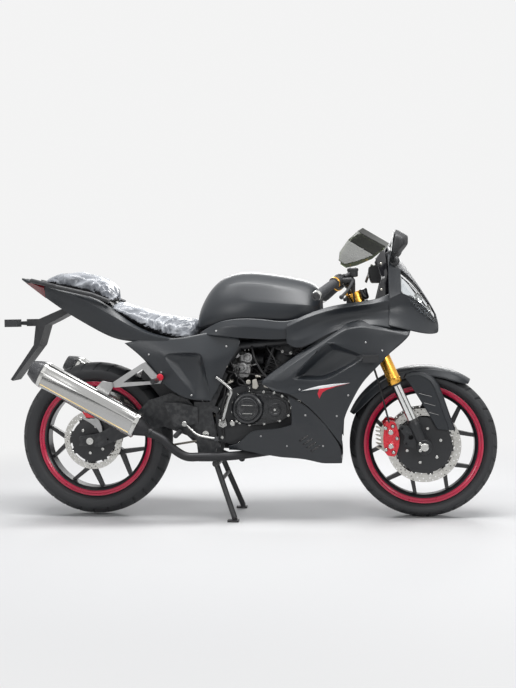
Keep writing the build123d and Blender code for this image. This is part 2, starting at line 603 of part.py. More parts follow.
def chain_loop(extra, half):
    """Solid in the shape of a belt round both sprockets, over their radii by extra."""
    dx = FRONT_SPROCKET[0]
    dz = FRONT_SPROCKET[1] - REAR_AXLE_Z
    gap = sqrt(dx * dx + dz * dz)
    lean = atan2(dz, dx)
    big = SPROCKET_R + extra
    small = FRONT_SPROCKET_R + extra
    side = atan2(sqrt(gap * gap - (big - small) ** 2), big - small)
    ends = disc(rear_axle, big, -half, half) + disc(FRONT_SPROCKET, small, -half, half)
    quad = []
    for (cx, cz), r, sign in ((rear_axle, big, 1), (FRONT_SPROCKET, small, 1),
                              (FRONT_SPROCKET, small, -1), (rear_axle, big, -1)):
        quad.append((cx + r * cos(lean + sign * side), cz + r * sin(lean + sign * side)))
    return ends + plate(quad, -half, half)


chain = chain_loop(9, CHAIN_HALF) - chain_loop(1, CHAIN_HALF + 1)
save(Pos(0, CHAIN_Y, 0) * chain, "drive_chain")

# ---------------------------------------------------------------- seats, tank and tail
# Tank sections: x, then crown z, shoulder (y, z), widest (y, z), foot (y, z).
TANK = [
    (434, 822, (62, 806), (88, 780), (84, 742)),
    (468, 900, (92, 868), (124, 806), (112, 742)),
    (520, 958, (112, 918), (150, 838), (132, 742)),
    (610, 987, (124, 944), (170, 858), (148, 742)),
    (750, 971, (124, 926), (172, 852), (150, 742)),
    (870, 948, (108, 902), (152, 842), (134, 742)),
    (932, 908, (84, 878), (118, 832), (104, 742)),
]
tank_sections = []
for x, crown_z, shoulder, widest, foot in TANK:
    half = [(0, crown_z), (shoulder[0] * 0.62, crown_z - 8), shoulder, widest, foot]
    ring_points = [(x, y, z) for y, z in half]
    ring_points += [(x, -y, z) for y, z in reversed(half[1:])]
    tank_sections.append(ring_points)
save(skin_loft(tank_sections), "fuel_tank")

# Seat cushions: x, top z, half width, bottom z.
RIDER_SEAT = [
    (88, 868, 108, 842), (150, 846, 122, 800), (240, 812, 128, 762), (330, 782, 122, 735),
    (392, 780, 104, 728), (430, 806, 78, 742),
]
PILLION_SEAT = [
    (-206, 978, 60, 956), (-150, 1000, 84, 944), (-60, 1004, 108, 925), (30, 984, 118, 900),
    (96, 944, 112, 884),
]


def cushion(rows):
    sections = []
    for x, top, half, low in rows:
        edge = lerp(low, top, 0.55)
        sections.append([(x, 0, top), (x, half * 0.7, top - 6), (x, half, edge), (x, half * 0.9, low),
                         (x, -half * 0.9, low), (x, -half, edge), (x, -half * 0.7, top - 6)])
    return skin_loft(sections)


rider_seat = cushion(RIDER_SEAT)
pillion_seat = cushion(PILLION_SEAT)
save(rider_seat, "rider_seat")
save(pillion_seat, "pillion_seat")

# Tail: x, top (y, z), widest (y, z), lower edge (y, z).
TAIL = [
    (-300, (30, 978), (40, 974), (34, 968)),
    (-206, (70, 950), (78, 934), (62, 902)),
    (-100, (100, 930), (108, 905), (90, 828)),
    (40, (120, 886), (132, 850), (118, 752)),
    (110, (124, 838), (140, 806), (130, 716)),
    (240, (130, 750), (152, 735), (150, 705)),
    (384, (126, 716), (158, 712), (158, 700)),
]
tail_sections = []
for x, top, widest, low in TAIL:
    half = [(0, top[1] - 4), (top[0], top[1] - 2), widest, low]
    points = [(x, y, z) for y, z in half] + [(x, -y, z) for y, z in reversed(half[1:])]
    tail_sections.append(points)
tail = skin_loft(tail_sections) - rider_seat - pillion_seat
TAIL_LAMP_X = (-280.0, -190.0)
lamp_space = block(TAIL_LAMP_X, (-120, 120), (880, 953))
tail_lamp = tail & lamp_space
tail = tail - lamp_space
save(tail_lamp, "tail_lamp")
save(tail, "tail_fairing")
rail = pipe([(540, -88, 640), (300, -92, 700)], 12)
strut = pipe([(470, -100, 470), (250, -92, 720)], 10)
save(both_sides((rail + strut) - tail - pivot_plate - spar), "subframe")

# Side panels and tank covers, outer faces from bottom to top.
SIDE_PANEL = [
    (160, [(136, 694), (140, 696), (144, 698)]),
    (238, [(150, 622), (158, 660), (152, 697)]),
    (289, [(158, 557), (166, 630), (158, 697)]),
    (372, [(166, 492), (176, 600), (164, 694)]),
    (431, [(168, 479), (178, 600), (166, 716)]),
    (496, [(168, 479), (178, 600), (168, 728)]),
    (562, [(166, 619), (178, 680), (170, 727)]),
    (628, [(168, 701), (174, 710), (170, 718)]),
]
TANK_COVER = [
    (448, [(122, 732), (136, 752), (126, 770)]),
    (520, [(166, 738), (174, 762), (160, 786)]),
    (640, [(178, 722), (188, 756), (178, 796)]),
    (790, [(180, 712), (190, 744), (178, 782)]),
    (886, [(178, 742), (186, 776), (160, 816)]),
]
for rows, name in ((SIDE_PANEL, "side_panels"), (TANK_COVER, "tank_covers")):
    save(both_sides(panel(rows, SKIN)), name)

# ---------------------------------------------------------------- fairing
# Half width of the fairing: one row for each height, as (x, half width).
FAIRING_WIDTH = {
    225: [(560, 120), (880, 128), (1010, 116)],
    330: [(560, 168), (880, 182), (1010, 172)],
    440: [(620, 190), (880, 210), (1010, 204)],
    560: [(676, 206), (880, 234), (1090, 216)],
    680: [(676, 200), (900, 232), (1090, 222), (1200, 204), (1270, 190)],
    780: [(800, 196), (900, 214), (1090, 206), (1200, 190), (1270, 178)],
}


def fairing_y(x, z):
    """Half width of the fairing's outer face at (x, z)."""
    levels = sorted(FAIRING_WIDTH)
    column = [(level, table_value(FAIRING_WIDTH[level], x)) for level in levels]
    return table_value(column, z)


# Side fairing: x, lower edge z, upper edge z.
SIDE_FAIRING = [
    (676, 552, 560), (745, 520, 601), (808, 506, 642), (943, 388, 729), (1003, 300, 768),
    (1006, 405, 770), (1045, 480, 776), (1085, 554, 780), (1145, 610, 768), (1182, 653, 759),
    (1244, 702, 743), (1269, 728, 736),
]
BELLY = [
    (560, 284, 302), (600, 283, 309), (652, 276, 363), (703, 262, 366), (767, 249, 372),
    (811, 248, 385), (815, 248, 496), (880, 240, 440), (923, 226, 402), (943, 226, 384),
    (1002, 226, 297),
]
EDGE_STEPS = 4


def fairing_rows(table, side):
    rows = []
    for x, low, high in table:
        line = []
        for k in range(EDGE_STEPS + 1):
            z = lerp(low, high, k / EDGE_STEPS)
            line.append((side * fairing_y(x, z), z))
        rows.append((x, line))
    return rows


side_fairing = panel(fairing_rows(SIDE_FAIRING, -1), SKIN)
# The intake: a pocket let into the panel, with its own walls and floor.
INTAKE = [(948, 708), (1108, 650), (940, 556), (812, 562), (982, 662)]
INTAKE_DEPTH = 26.0
INTAKE_WALL = 3.0
INTAKE_MID = (980.0, 630.0)


def shrunk(outline, middle, by):
    """Outline drawn in towards its middle by about a wall's thickness."""
    points = []
    for px, pz in outline:
        reach = sqrt((px - middle[0]) ** 2 + (pz - middle[1]) ** 2)
        share = 1 - 2 * by / reach
        points.append((middle[0] + (px - middle[0]) * share, middle[1] + (pz - middle[1]) * share))
    return points


floor_y = -fairing_y(*INTAKE_MID) + INTAKE_DEPTH
mouth = shrunk(INTAKE, INTAKE_MID, INTAKE_WALL)
beneath = panel(fairing_rows(SIDE_FAIRING, -1), INTAKE_DEPTH * 3)
tray = plate(INTAKE, floor_y - INTAKE_DEPTH * 2, floor_y + INTAKE_WALL) & beneath
side_fairing = side_fairing + tray - plate(mouth, floor_y - INTAKE_DEPTH * 2, floor_y)
save(both_sides(side_fairing), "side_fairings")
belly_floor = []
for x, low, high in BELLY[4:]:
    half = fairing_y(x, low) - 1
    belly_floor.append([(x, -half, low), (x, half, low), (x, half, low + SKIN), (x, -half, low + SKIN)])
belly = skin_loft(belly_floor)
for side in (-1, 1):
    belly = belly + panel(fairing_rows(BELLY, side), SKIN)
save(belly, "belly_pan")

# Nose: x, then outer line from the lower edge to the top, as (y, z).
NOSE = [
    (800, [(198, 764), (204, 768), (204, 772), (200, 776), (196, 778)]),
    (886, [(212, 740), (218, 764), (208, 792), (190, 812), (180, 816)]),
    (1000, [(216, 776), (214, 790), (206, 816), (192, 840), (176, 846)]),
    (1085, [(210, 786), (208, 800), (200, 824), (190, 848), (172, 856)]),
    (1180, [(196, 764), (196, 800), (188, 836), (176, 858), (160, 882)]),
]
NOSE_FRONT = [
    (1190, [(194, 762), (194, 800), (180, 850), (160, 920), (132, 996), (60, 1062), (0, 1082)]),
    (1235, [(184, 752), (180, 790), (164, 850), (144, 915), (112, 975), (52, 1016), (0, 1024)]),
    (1290, [(160, 736), (152, 780), (136, 835), (114, 890), (84, 930), (40, 944), (0, 948)]),
    (1340, [(120, 726), (118, 760), (104, 800), (86, 835), (62, 860), (30, 868), (0, 870)]),
    (1376, [(64, 726), (64, 745), (56, 765), (46, 785), (34, 800), (16, 810), (0, 812)]),
    (1385, [(40, 734), (40, 742), (36, 750), (30, 758), (22, 764), (10, 768), (0, 769)]),
]
nose = None
for side in (-1, 1):
    strip = panel([(x, [(side * y, z) for y, z in line]) for x, line in NOSE], SKIN)
    nose = strip if nose is None else nose + strip
front_outer = []
front_inner = []
for x, line in NOSE_FRONT:
    full = [(x, y, z) for y, z in line] + [(x, -y, z) for y, z in reversed(line[:-1])]
    front_outer.append(full)
    middle = 0.5 * (line[0][1] + line[-1][1])
    shrink = 1 - SKIN / 60
    inset = [(x, y * shrink, middle + (z - middle) * (shrink if z > middle else 1.2)) for y, z in line]
    inset = inset + [(x, -y, z) for x, y, z in reversed(inset[:-1])]
    front_inner.append(inset)
shell = skin_loft(front_outer) - skin_loft(front_inner[:-1])
# Headlamps: pointed lenses let into the nose.
lamp = skin_loft([
    [(1236, -142, 900), (1236, -120, 952), (1236, -100, 952), (1236, -122, 900)],
    [(1290, -134, 830), (1290, -98, 906), (1290, -80, 906), (1290, -112, 830)],
    [(1340, -108, 790), (1340, -74, 842), (1340, -60, 836), (1340, -88, 790)],
    [(1370, -66, 764), (1370, -52, 784), (1370, -40, 780), (1370, -52, 764)],
])
save(both_sides(lamp), "headlamps")
nose_cowl = shell + nose - lamp - mirrored(lamp)
save(nose_cowl, "nose_fairing")

# Windscreen: foot (x, y, z) and free edge (x, y, z) of each rib, from the middle out.
SCREEN = [
    ((1196, 0, 1086), (1092, 0, 1150)),
    ((1180, 66, 1070), (1072, 50, 1134)),
    ((1130, 128, 1034), (1034, 96, 1096)),
    ((1068, 158, 1010), (1004, 136, 1050)),
    ((1022, 166, 1001), (1000, 158, 1016)),
]
SCREEN_WALL = 3.0
ribs = [((fx, -fy, fz), (ex, -ey, ez)) for (fx, fy, fz), (ex, ey, ez) in reversed(SCREEN[1:])]
ribs = ribs + SCREEN
screen_sections = []
for foot, edge in ribs:
    lean = atan2(foot[1], 210)
    shift = (-cos(lean) * 0.7 * SCREEN_WALL, -sin(lean) * SCREEN_WALL, -0.7 * SCREEN_WALL)
    foot_in = tuple(a + b for a, b in zip(foot, shift))
    edge_in = tuple(a + b for a, b in zip(edge, shift))
    screen_sections.append([foot, edge, edge_in, foot_in])
save(skin_loft(screen_sections), "windscreen")

# Mirrors on stalks from the nose.
mirror_stalk = pipe([(1200, -120, 1020), (1206, -200, 1030), (1208, -270, 1044)], 8)
mirror_head = skin_loft([
    [(1192, -210, 1014), (1226, -210, 1020), (1232, -210, 1070), (1200, -210, 1080)],
    [(1190, -280, 1012), (1250, -280, 1030), (1262, -280, 1090), (1206, -280, 1124)],
    [(1196, -340, 1030), (1236, -340, 1040), (1244, -340, 1080), (1206, -340, 1096)],
])
save(both_sides(mirror_stalk + mirror_head), "mirrors")
save(block((1110, 1170), (-90, 90), (930, 1000)), "instruments")

# ---------------------------------------------------------------- tail end
bracket = plate([(-156, 800), (-60, 850), (-70, 870), (-240, 800), (-330, 796), (-330, 786),
                 (-240, 778), (-250, 700), (REAR_TIP_X, 560), (REAR_TIP_X + 9, 554), (-225, 700), (-200, 780)],
                -50, 50)
save(bracket - tail, "number_plate_bracket")
blinker = rod((-300, -52, 790), (-300, -104, 790), 5) + block((-330, -280), (-160, -104), (776, 806))
front_blinker = rod((1110, -214, 640), (1110, -232, 640), 9) + block((1085, 1145), (-262, -232), (626, 654))
save(gather(both_sides(blinker), both_sides(front_blinker - side_fairing)), "indicators")
rail = pipe([(-250, -60, 962), (-130, -112, 934), (20, -134, 900), (90, -130, 872)], 9)
save(both_sides(rail - tail - tail_lamp - pillion_seat - rider_seat), "grab_rails")

# Footrests and pedals.
REARSET_FACE = PIVOT_PLATE_Y + 6 + FIT
rearset = plate([(306, 469), (371, 469), (440, 450), (440, 390), (376, 373), (344, 373)],
                -REARSET_FACE - 8, -REARSET_FACE)
peg = rod((368, -146, 355), (368, -235, 350), 10)
pillion_peg = rod((285, -176 - FIT, 560), (285, -250, 560), 10)
save(gather(both_sides(rearset + peg), both_sides(pillion_peg)), "footrests")
PEDAL_FACE = -REARSET_FACE - 8 - FIT
pedal = pipe([(390, PEDAL_FACE - 6, 385), (440, -166, 345), (520, -186, 332)], 6)
gear = mirrored(pipe([(390, PEDAL_FACE - 6, 385), (440, -166, 345), (540, -186, 352)], 6))
save(gather(kick, pedal, gear), "foot_levers")

# ---------------------------------------------------------------- stands
STAND_PIVOT = (501.0, 222.0)
FOOT = (582.0, 142.0)
FOOT_THICK = 8.0
tube = rod((STAND_PIVOT[0], -100, STAND_PIVOT[1]), (STAND_PIVOT[0], 100, STAND_PIVOT[1]), 14)
stand = tube
for side in (-1, 1):
    top = (STAND_PIVOT[0], side * 86, STAND_PIVOT[1])
    low = (FOOT[0] - 3, side * (FOOT[1] - 4), STAND_TUBE_R + 2)
    stand = stand + rod(top, low, STAND_TUBE_R)
    stand = stand + block((FOOT[0] - 30, FOOT[0] + 14), (side * FOOT[1] - 14, side * FOOT[1] + 14),
                          (0, FOOT_THICK))
    stand = stand + rod(low, (low[0], low[1], FOOT_THICK / 2), STAND_TUBE_R)
brace_at = 0.3
a = [lerp(p, q, brace_at) for p, q in zip((501, 86, 222), (582, 142, 13))]
stand = stand + rod((a[0], -a[1], a[2]), (a[0], a[1], a[2]), 8)
save(stand, "centre_stand")

EYE_HALF = 10.0
side_leg = rod((SIDE_PIVOT.X - 8, SIDE_PIVOT.Y, SIDE_PIVOT.Z),
               (SIDE_PIVOT.X - SIDE_LEN, SIDE_PIVOT.Y + 4, SIDE_PIVOT.Z), 10)
side_leg = side_leg + block((SIDE_PIVOT.X - SIDE_LEN - 12, SIDE_PIVOT.X - SIDE_LEN + 14),
                            (SIDE_PIVOT.Y - 10, SIDE_PIVOT.Y + 34), (206, 218))
eye = rod(tuple(SIDE_PIVOT - SIDE_AXIS * EYE_HALF), tuple(SIDE_PIVOT + SIDE_AXIS * EYE_HALF), 13)
pin_hole = rod(tuple(SIDE_PIVOT - SIDE_AXIS * 40), tuple(SIDE_PIVOT + SIDE_AXIS * 40), SIDE_PIN_R + FIT)
side_leg = side_leg + eye - pin_hole
save(side_leg, "side_stand")
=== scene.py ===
"""Sport bike on its centre stand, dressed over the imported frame, as a lesson in cells."""
# %% [markdown]
# ## Start: the frame, and two numbers that place everything
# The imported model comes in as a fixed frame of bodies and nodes, in metres. The bike was drawn in
# millimetres from the rear axle's place on the ground, so every table here keeps those numbers and
# `at()` turns them into the frame's metres. Nothing is fitted by eye.
# %% Load the frame and set up
import bpy, bmesh
import numpy as np
from mathutils import Matrix, Vector, noise
from math import cos, pi, radians, sin, tan


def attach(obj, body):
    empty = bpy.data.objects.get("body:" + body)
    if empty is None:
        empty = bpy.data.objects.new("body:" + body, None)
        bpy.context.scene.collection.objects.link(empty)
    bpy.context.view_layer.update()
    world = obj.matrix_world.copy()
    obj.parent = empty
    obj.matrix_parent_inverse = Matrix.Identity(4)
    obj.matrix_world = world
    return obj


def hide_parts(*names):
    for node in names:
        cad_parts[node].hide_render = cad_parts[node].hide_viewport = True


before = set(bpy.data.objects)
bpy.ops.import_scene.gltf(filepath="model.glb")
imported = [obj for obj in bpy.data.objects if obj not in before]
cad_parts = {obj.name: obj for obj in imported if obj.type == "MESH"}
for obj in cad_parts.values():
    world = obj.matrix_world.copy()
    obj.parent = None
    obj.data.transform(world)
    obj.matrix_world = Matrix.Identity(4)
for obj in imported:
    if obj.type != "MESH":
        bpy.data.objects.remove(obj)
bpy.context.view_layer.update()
MIDDLE = 630.0                      # rear axle to the frame's origin, mm


def at(x, y, z):
    """Millimetres from the rear axle's foot to the frame's metres."""
    return Vector(((x - MIDDLE) / 1000, y / 1000, z / 1000))


# %% [markdown]
# ## Camera
# The camera stands about four metres off the bike's right side, a little ahead of its middle and
# at seat height, with a normal lens, so that the wheels stay round and the far side just shows.
# %% Camera
EYE = Vector((0.4576, -3.9778, 0.8156))
LOOK = Vector((-0.1053, 0.9940, -0.0308)).normalized()
TURN, ROLL = 0.1055, -0.0147
level = Vector((cos(TURN), sin(TURN), 0))
above = level.cross(LOOK)
right = level * cos(ROLL) + above * sin(ROLL)
up = above * cos(ROLL) - level * sin(ROLL)
camera = bpy.data.objects.new("camera", bpy.data.cameras.new("camera"))
bpy.context.scene.collection.objects.link(camera)
camera.matrix_world = Matrix(((right.x, up.x, -LOOK.x, EYE.x), (right.y, up.y, -LOOK.y, EYE.y),
                              (right.z, up.z, -LOOK.z, EYE.z), (0, 0, 0, 1)))
camera.data.sensor_fit = "VERTICAL"
camera.data.sensor_height = 36
camera.data.lens = 991.3 / 688 * 36
bpy.context.scene.camera = camera
bpy.context.scene.view_settings.view_transform = "Standard"

# %% [markdown]
# ## Floor, backdrop and soft light
# A pale floor takes the shadow, and the world is the white wall behind. What the camera and the
# shiny parts see is set by Light Path, so the white costs the object no extra light. One large
# lamp overhead gives the long soft highlights on the creases of the panels, a second one from the
# front left fills, and a third behind draws the edges of the dark parts.
# %% Floor, world and lamps


def new_tree(name):
    """A material with an empty node tree, and that tree."""
    m = bpy.data.materials.new(name)
    m.use_nodes = True
    m.node_tree.nodes.clear()
    return m, m.node_tree


def node(tree, kind, links=None, **values):
    """A node with its properties set and its inputs linked or filled in."""
    n = tree.nodes.new(kind)
    for k, v in values.items():
        setattr(n, k, v)
    for k, v in (links or {}).items():
        if isinstance(v, bpy.types.NodeSocket):
            tree.links.new(v, n.inputs[k])
        else:
            n.inputs[k].default_value = v
    return n


def maths(tree, operation, *inputs, **own):
    """The output of a Math node over numbers and sockets."""
    return node(tree, "ShaderNodeMath", dict(enumerate(inputs)), operation=operation, **own).outputs[0]


def seen_directly(tree):
    """1 where a ray comes from the camera, a mirror or through glass."""
    path = node(tree, "ShaderNodeLightPath").outputs
    seen = maths(tree, "MAXIMUM", path["Is Camera Ray"], path["Is Glossy Ray"])
    return maths(tree, "MAXIMUM", seen, path["Is Transmission Ray"])


def flat_mesh(name, corners, material):
    """A single four-cornered face that stands for the room and isn't part of the bike."""
    mesh = bpy.data.meshes.new(name)
    mesh.from_pydata(corners, [], [(0, 1, 2, 3)])
    mesh.materials.append(material)
    obj = bpy.data.objects.new(name, mesh)
    bpy.context.scene.collection.objects.link(obj)
    return obj


WALL_GREY, FLOOR_GREY = (0.90, 0.90, 0.90, 1), (0.66, 0.66, 0.66, 1)
world = bpy.data.worlds.new("soft_white")
bpy.context.scene.world = world
world.use_nodes = True
wt = world.node_tree
wt.nodes.clear()
lit = node(wt, "ShaderNodeBackground", {"Color": (0.9, 0.93, 1, 1), "Strength": 0.30})
wall = node(wt, "ShaderNodeBackground", {"Color": WALL_GREY})
pick = node(wt, "ShaderNodeMixShader", {0: seen_directly(wt), 1: lit.outputs[0], 2: wall.outputs[0]})
node(wt, "ShaderNodeOutputWorld", {"Surface": pick.outputs[0]})

floor_mat, ft = new_tree("pale_floor")
paint = node(ft, "ShaderNodeBsdfPrincipled", {"Base Color": FLOOR_GREY, "Roughness": 0.75})
glow = node(ft, "ShaderNodeEmission", {"Color": WALL_GREY})
spot = node(ft, "ShaderNodeTexCoord")
reach = node(ft, "ShaderNodeVectorMath", {0: spot.outputs["Object"]}, operation="LENGTH")
fade = node(ft, "ShaderNodeMapRange", {"Value": reach.outputs["Value"], "From Min": 1.0, "From Max": 2.7},
            interpolation_type="SMOOTHSTEP")
share = maths(ft, "MULTIPLY", fade.outputs[0], seen_directly(ft))
blend = node(ft, "ShaderNodeMixShader", {0: share, 1: paint.outputs[0], 2: glow.outputs[0]})
node(ft, "ShaderNodeOutputMaterial", {"Surface": blend.outputs[0]})
FLOOR_END, FLOOR_Z = 30, -0.0005
flat_mesh("floor", [(-FLOOR_END, -FLOOR_END, FLOOR_Z), (FLOOR_END, -FLOOR_END, FLOOR_Z),
                    (FLOOR_END, FLOOR_END, FLOOR_Z), (-FLOOR_END, FLOOR_END, FLOOR_Z)], floor_mat)

# Dark studio flags: only mirrors see them, and they give the chrome its dark bands.
flag_mat, gt = new_tree("dark_flag")
dark = node(gt, "ShaderNodeEmission", {"Color": (0.02, 0.02, 0.022, 1)})
node(gt, "ShaderNodeOutputMaterial", {"Surface": dark.outputs[0]})
FLAGS = [   # name, one foot, the other foot, height of the top
    ("flag_low", (-6, -6.0), (6, -6.0), 1.15), ("flag_far", (-6, 6.0), (6, 6.0), 1.3),
    ("flag_front", (6.2, -6), (6.2, 6), 1.3), ("flag_back", (-6.2, -6), (-6.2, 6), 1.3),
]
for name, (ax, ay), (bx, by), top in FLAGS:
    flag = flat_mesh(name, [(ax, ay, 0.05), (bx, by, 0.05), (bx, by, top), (ax, ay, top)], flag_mat)
    flag.visible_camera = flag.visible_diffuse = flag.visible_transmission = flag.visible_shadow = False
    flag.visible_volume_scatter = False

LAMPS = [   # name, place, aimed at, width, depth, watts
    ("overhead", (0.1, -0.5, 2.9), (0.1, 0.0, 0.5), 3.4, 1.0, 105),
    ("front_fill", (2.8, -3.8, 2.2), (0.2, 0.0, 0.5), 1.6, 1.2, 40),
    ("side_fill", (-2.4, -3.8, 1.8), (0.0, 0.0, 0.5), 1.4, 1.2, 24),
    ("far_edge", (0.4, 3.2, 2.2), (0.1, 0.0, 0.6), 3.0, 0.8, 60),
]
for name, place, aim, wide, deep, watts in LAMPS:
    lamp = bpy.data.objects.new(name, bpy.data.lights.new(name, "AREA"))
    lamp.data.shape = "RECTANGLE"
    lamp.data.size, lamp.data.size_y, lamp.data.energy = wide, deep, watts
    lamp.location = place
    lamp.rotation_euler = (Vector(aim) - Vector(place)).to_track_quat("-Z", "Y").to_euler()
    bpy.context.scene.collection.objects.link(lamp)
print("lamps", len(LAMPS))

# %% [markdown]
# ## Finishes: three effects that many materials share
# Real surfaces are never one flat colour. Three node groups are built once and used with other
# values each time: `fine_grain` is the tiny unevenness of moulded or cast surfaces, `mottle` is the
# slow change of tone over a large part, and `edge_wear` is a mask that is bright on sharp edges.
# A group gives out colours, masks and normals only, so that each material keeps its own shader.
# %% Shared node groups


def group(name, inputs, outputs):
    """An empty shader node group with float or colour inputs and typed outputs."""
    g = bpy.data.node_groups.new(name, "ShaderNodeTree")
    for label, kind, value in inputs:
        s = g.interface.new_socket(label, in_out="INPUT", socket_type="NodeSocket" + kind)
        s.default_value = value
    for label, kind in outputs:
        g.interface.new_socket(label, in_out="OUTPUT", socket_type="NodeSocket" + kind)
    return g, g.nodes.new("NodeGroupInput"), g.nodes.new("NodeGroupOutput")


g, gin, gout = group("fine_grain", [("Scale", "Float", 900.0), ("Strength", "Float", 0.1)],
                     [("Value", "Float"), ("Normal", "Vector")])
coords = node(g, "ShaderNodeTexCoord")
speck = node(g, "ShaderNodeTexNoise", {"Vector": coords.outputs["Object"], "Scale": gin.outputs["Scale"],
                                       "Detail": 3.0, "Roughness": 0.6})
bump = node(g, "ShaderNodeBump", {"Height": speck.outputs["Fac"], "Strength": gin.outputs["Strength"],
                                  "Distance": 0.0006})
g.links.new(speck.outputs["Fac"], gout.inputs["Value"])
g.links.new(bump.outputs[0], gout.inputs["Normal"])
FINE_GRAIN = g

g, gin, gout = group("mottle", [("Colour", "Color", (0.5, 0.5, 0.5, 1)), ("Amount", "Float", 0.15),
                                ("Scale", "Float", 9.0), ("Rough", "Float", 0.5)],
                     [("Colour", "Color"), ("Roughness", "Float")])
coords = node(g, "ShaderNodeTexCoord")
cloud = node(g, "ShaderNodeTexNoise", {"Vector": coords.outputs["Object"], "Scale": gin.outputs["Scale"],
                                       "Detail": 6.0, "Roughness": 0.65})
sized = maths(g, "MULTIPLY", maths(g, "SUBTRACT", cloud.outputs["Fac"], 0.5), gin.outputs["Amount"])
gain = maths(g, "MULTIPLY_ADD", sized, 2.0, 1.0)
shade = node(g, "ShaderNodeVectorMath", {0: gin.outputs["Colour"], 1: gain}, operation="MULTIPLY")
rough = maths(g, "MULTIPLY_ADD", sized, 0.9, gin.outputs["Rough"], use_clamp=True)
g.links.new(shade.outputs[0], gout.inputs["Colour"])
g.links.new(rough, gout.inputs["Roughness"])
MOTTLE = g

g, gin, gout = group("edge_wear", [("Amount", "Float", 0.5)], [("Mask", "Float")])
edge = node(g, "ShaderNodeNewGeometry")
coords = node(g, "ShaderNodeTexCoord")
patch = node(g, "ShaderNodeTexNoise", {"Vector": coords.outputs["Object"], "Scale": 60.0, "Detail": 4.0})
ramp = node(g, "ShaderNodeMapRange", {"Value": edge.outputs["Pointiness"], "From Min": 0.53,
                                      "From Max": 0.64})
spots = node(g, "ShaderNodeMapRange", {"Value": patch.outputs["Fac"], "From Min": 0.42, "From Max": 0.62})
both = maths(g, "MULTIPLY", ramp.outputs[0], spots.outputs[0])
g.links.new(maths(g, "MULTIPLY", both, gin.outputs["Amount"], use_clamp=True), gout.inputs["Mask"])
EDGE_WEAR = g
print("groups", [x.name for x in (FINE_GRAIN, MOTTLE, EDGE_WEAR)])

# %% [markdown]
# ## A maker of finishes
# Most finishes here are one Principled shader with the same three effects at other strengths. The
# constants stand on the shader's own sockets, because an exporter reads them there; only what
# changes over the surface comes through the groups.
# %% The finish maker
FINISHES = {}


def finish(name, colour, rough, metal=0.0, grain=(900.0, 0.1), mottle=(0.15, 9.0), wear=None, own=None):
    """A named material: colour, roughness, metal, grain (scale, strength), mottle (amount, scale)."""
    m, tree = new_tree(name)
    shader = node(tree, "ShaderNodeBsdfPrincipled")
    node(tree, "ShaderNodeOutputMaterial", {"Surface": shader.outputs[0]})
    cloud = node(tree, "ShaderNodeGroup", node_tree=MOTTLE)
    cloud.inputs["Colour"].default_value = (*colour, 1)
    cloud.inputs["Amount"].default_value, cloud.inputs["Scale"].default_value = mottle
    cloud.inputs["Rough"].default_value = rough
    tint = cloud.outputs["Colour"]
    if wear:
        rub = node(tree, "ShaderNodeGroup", node_tree=EDGE_WEAR)
        rub.inputs["Amount"].default_value = wear[0]
        mix = node(tree, "ShaderNodeMix", {0: rub.outputs["Mask"], 6: tint, 7: (*wear[1], 1)},
            data_type="RGBA")
        tint = mix.outputs[2]
    tree.links.new(tint, shader.inputs["Base Color"])
    tree.links.new(cloud.outputs["Roughness"], shader.inputs["Roughness"])
    speck = node(tree, "ShaderNodeGroup", node_tree=FINE_GRAIN)
    speck.inputs["Scale"].default_value, speck.inputs["Strength"].default_value = grain
    tree.links.new(speck.outputs["Normal"], shader.inputs["Normal"])
    shader.inputs["Metallic"].default_value = metal
    for key, value in (own or {}).items():
        shader.inputs[key.replace("_", " ")].default_value = value
    FINISHES[name] = m
    return m


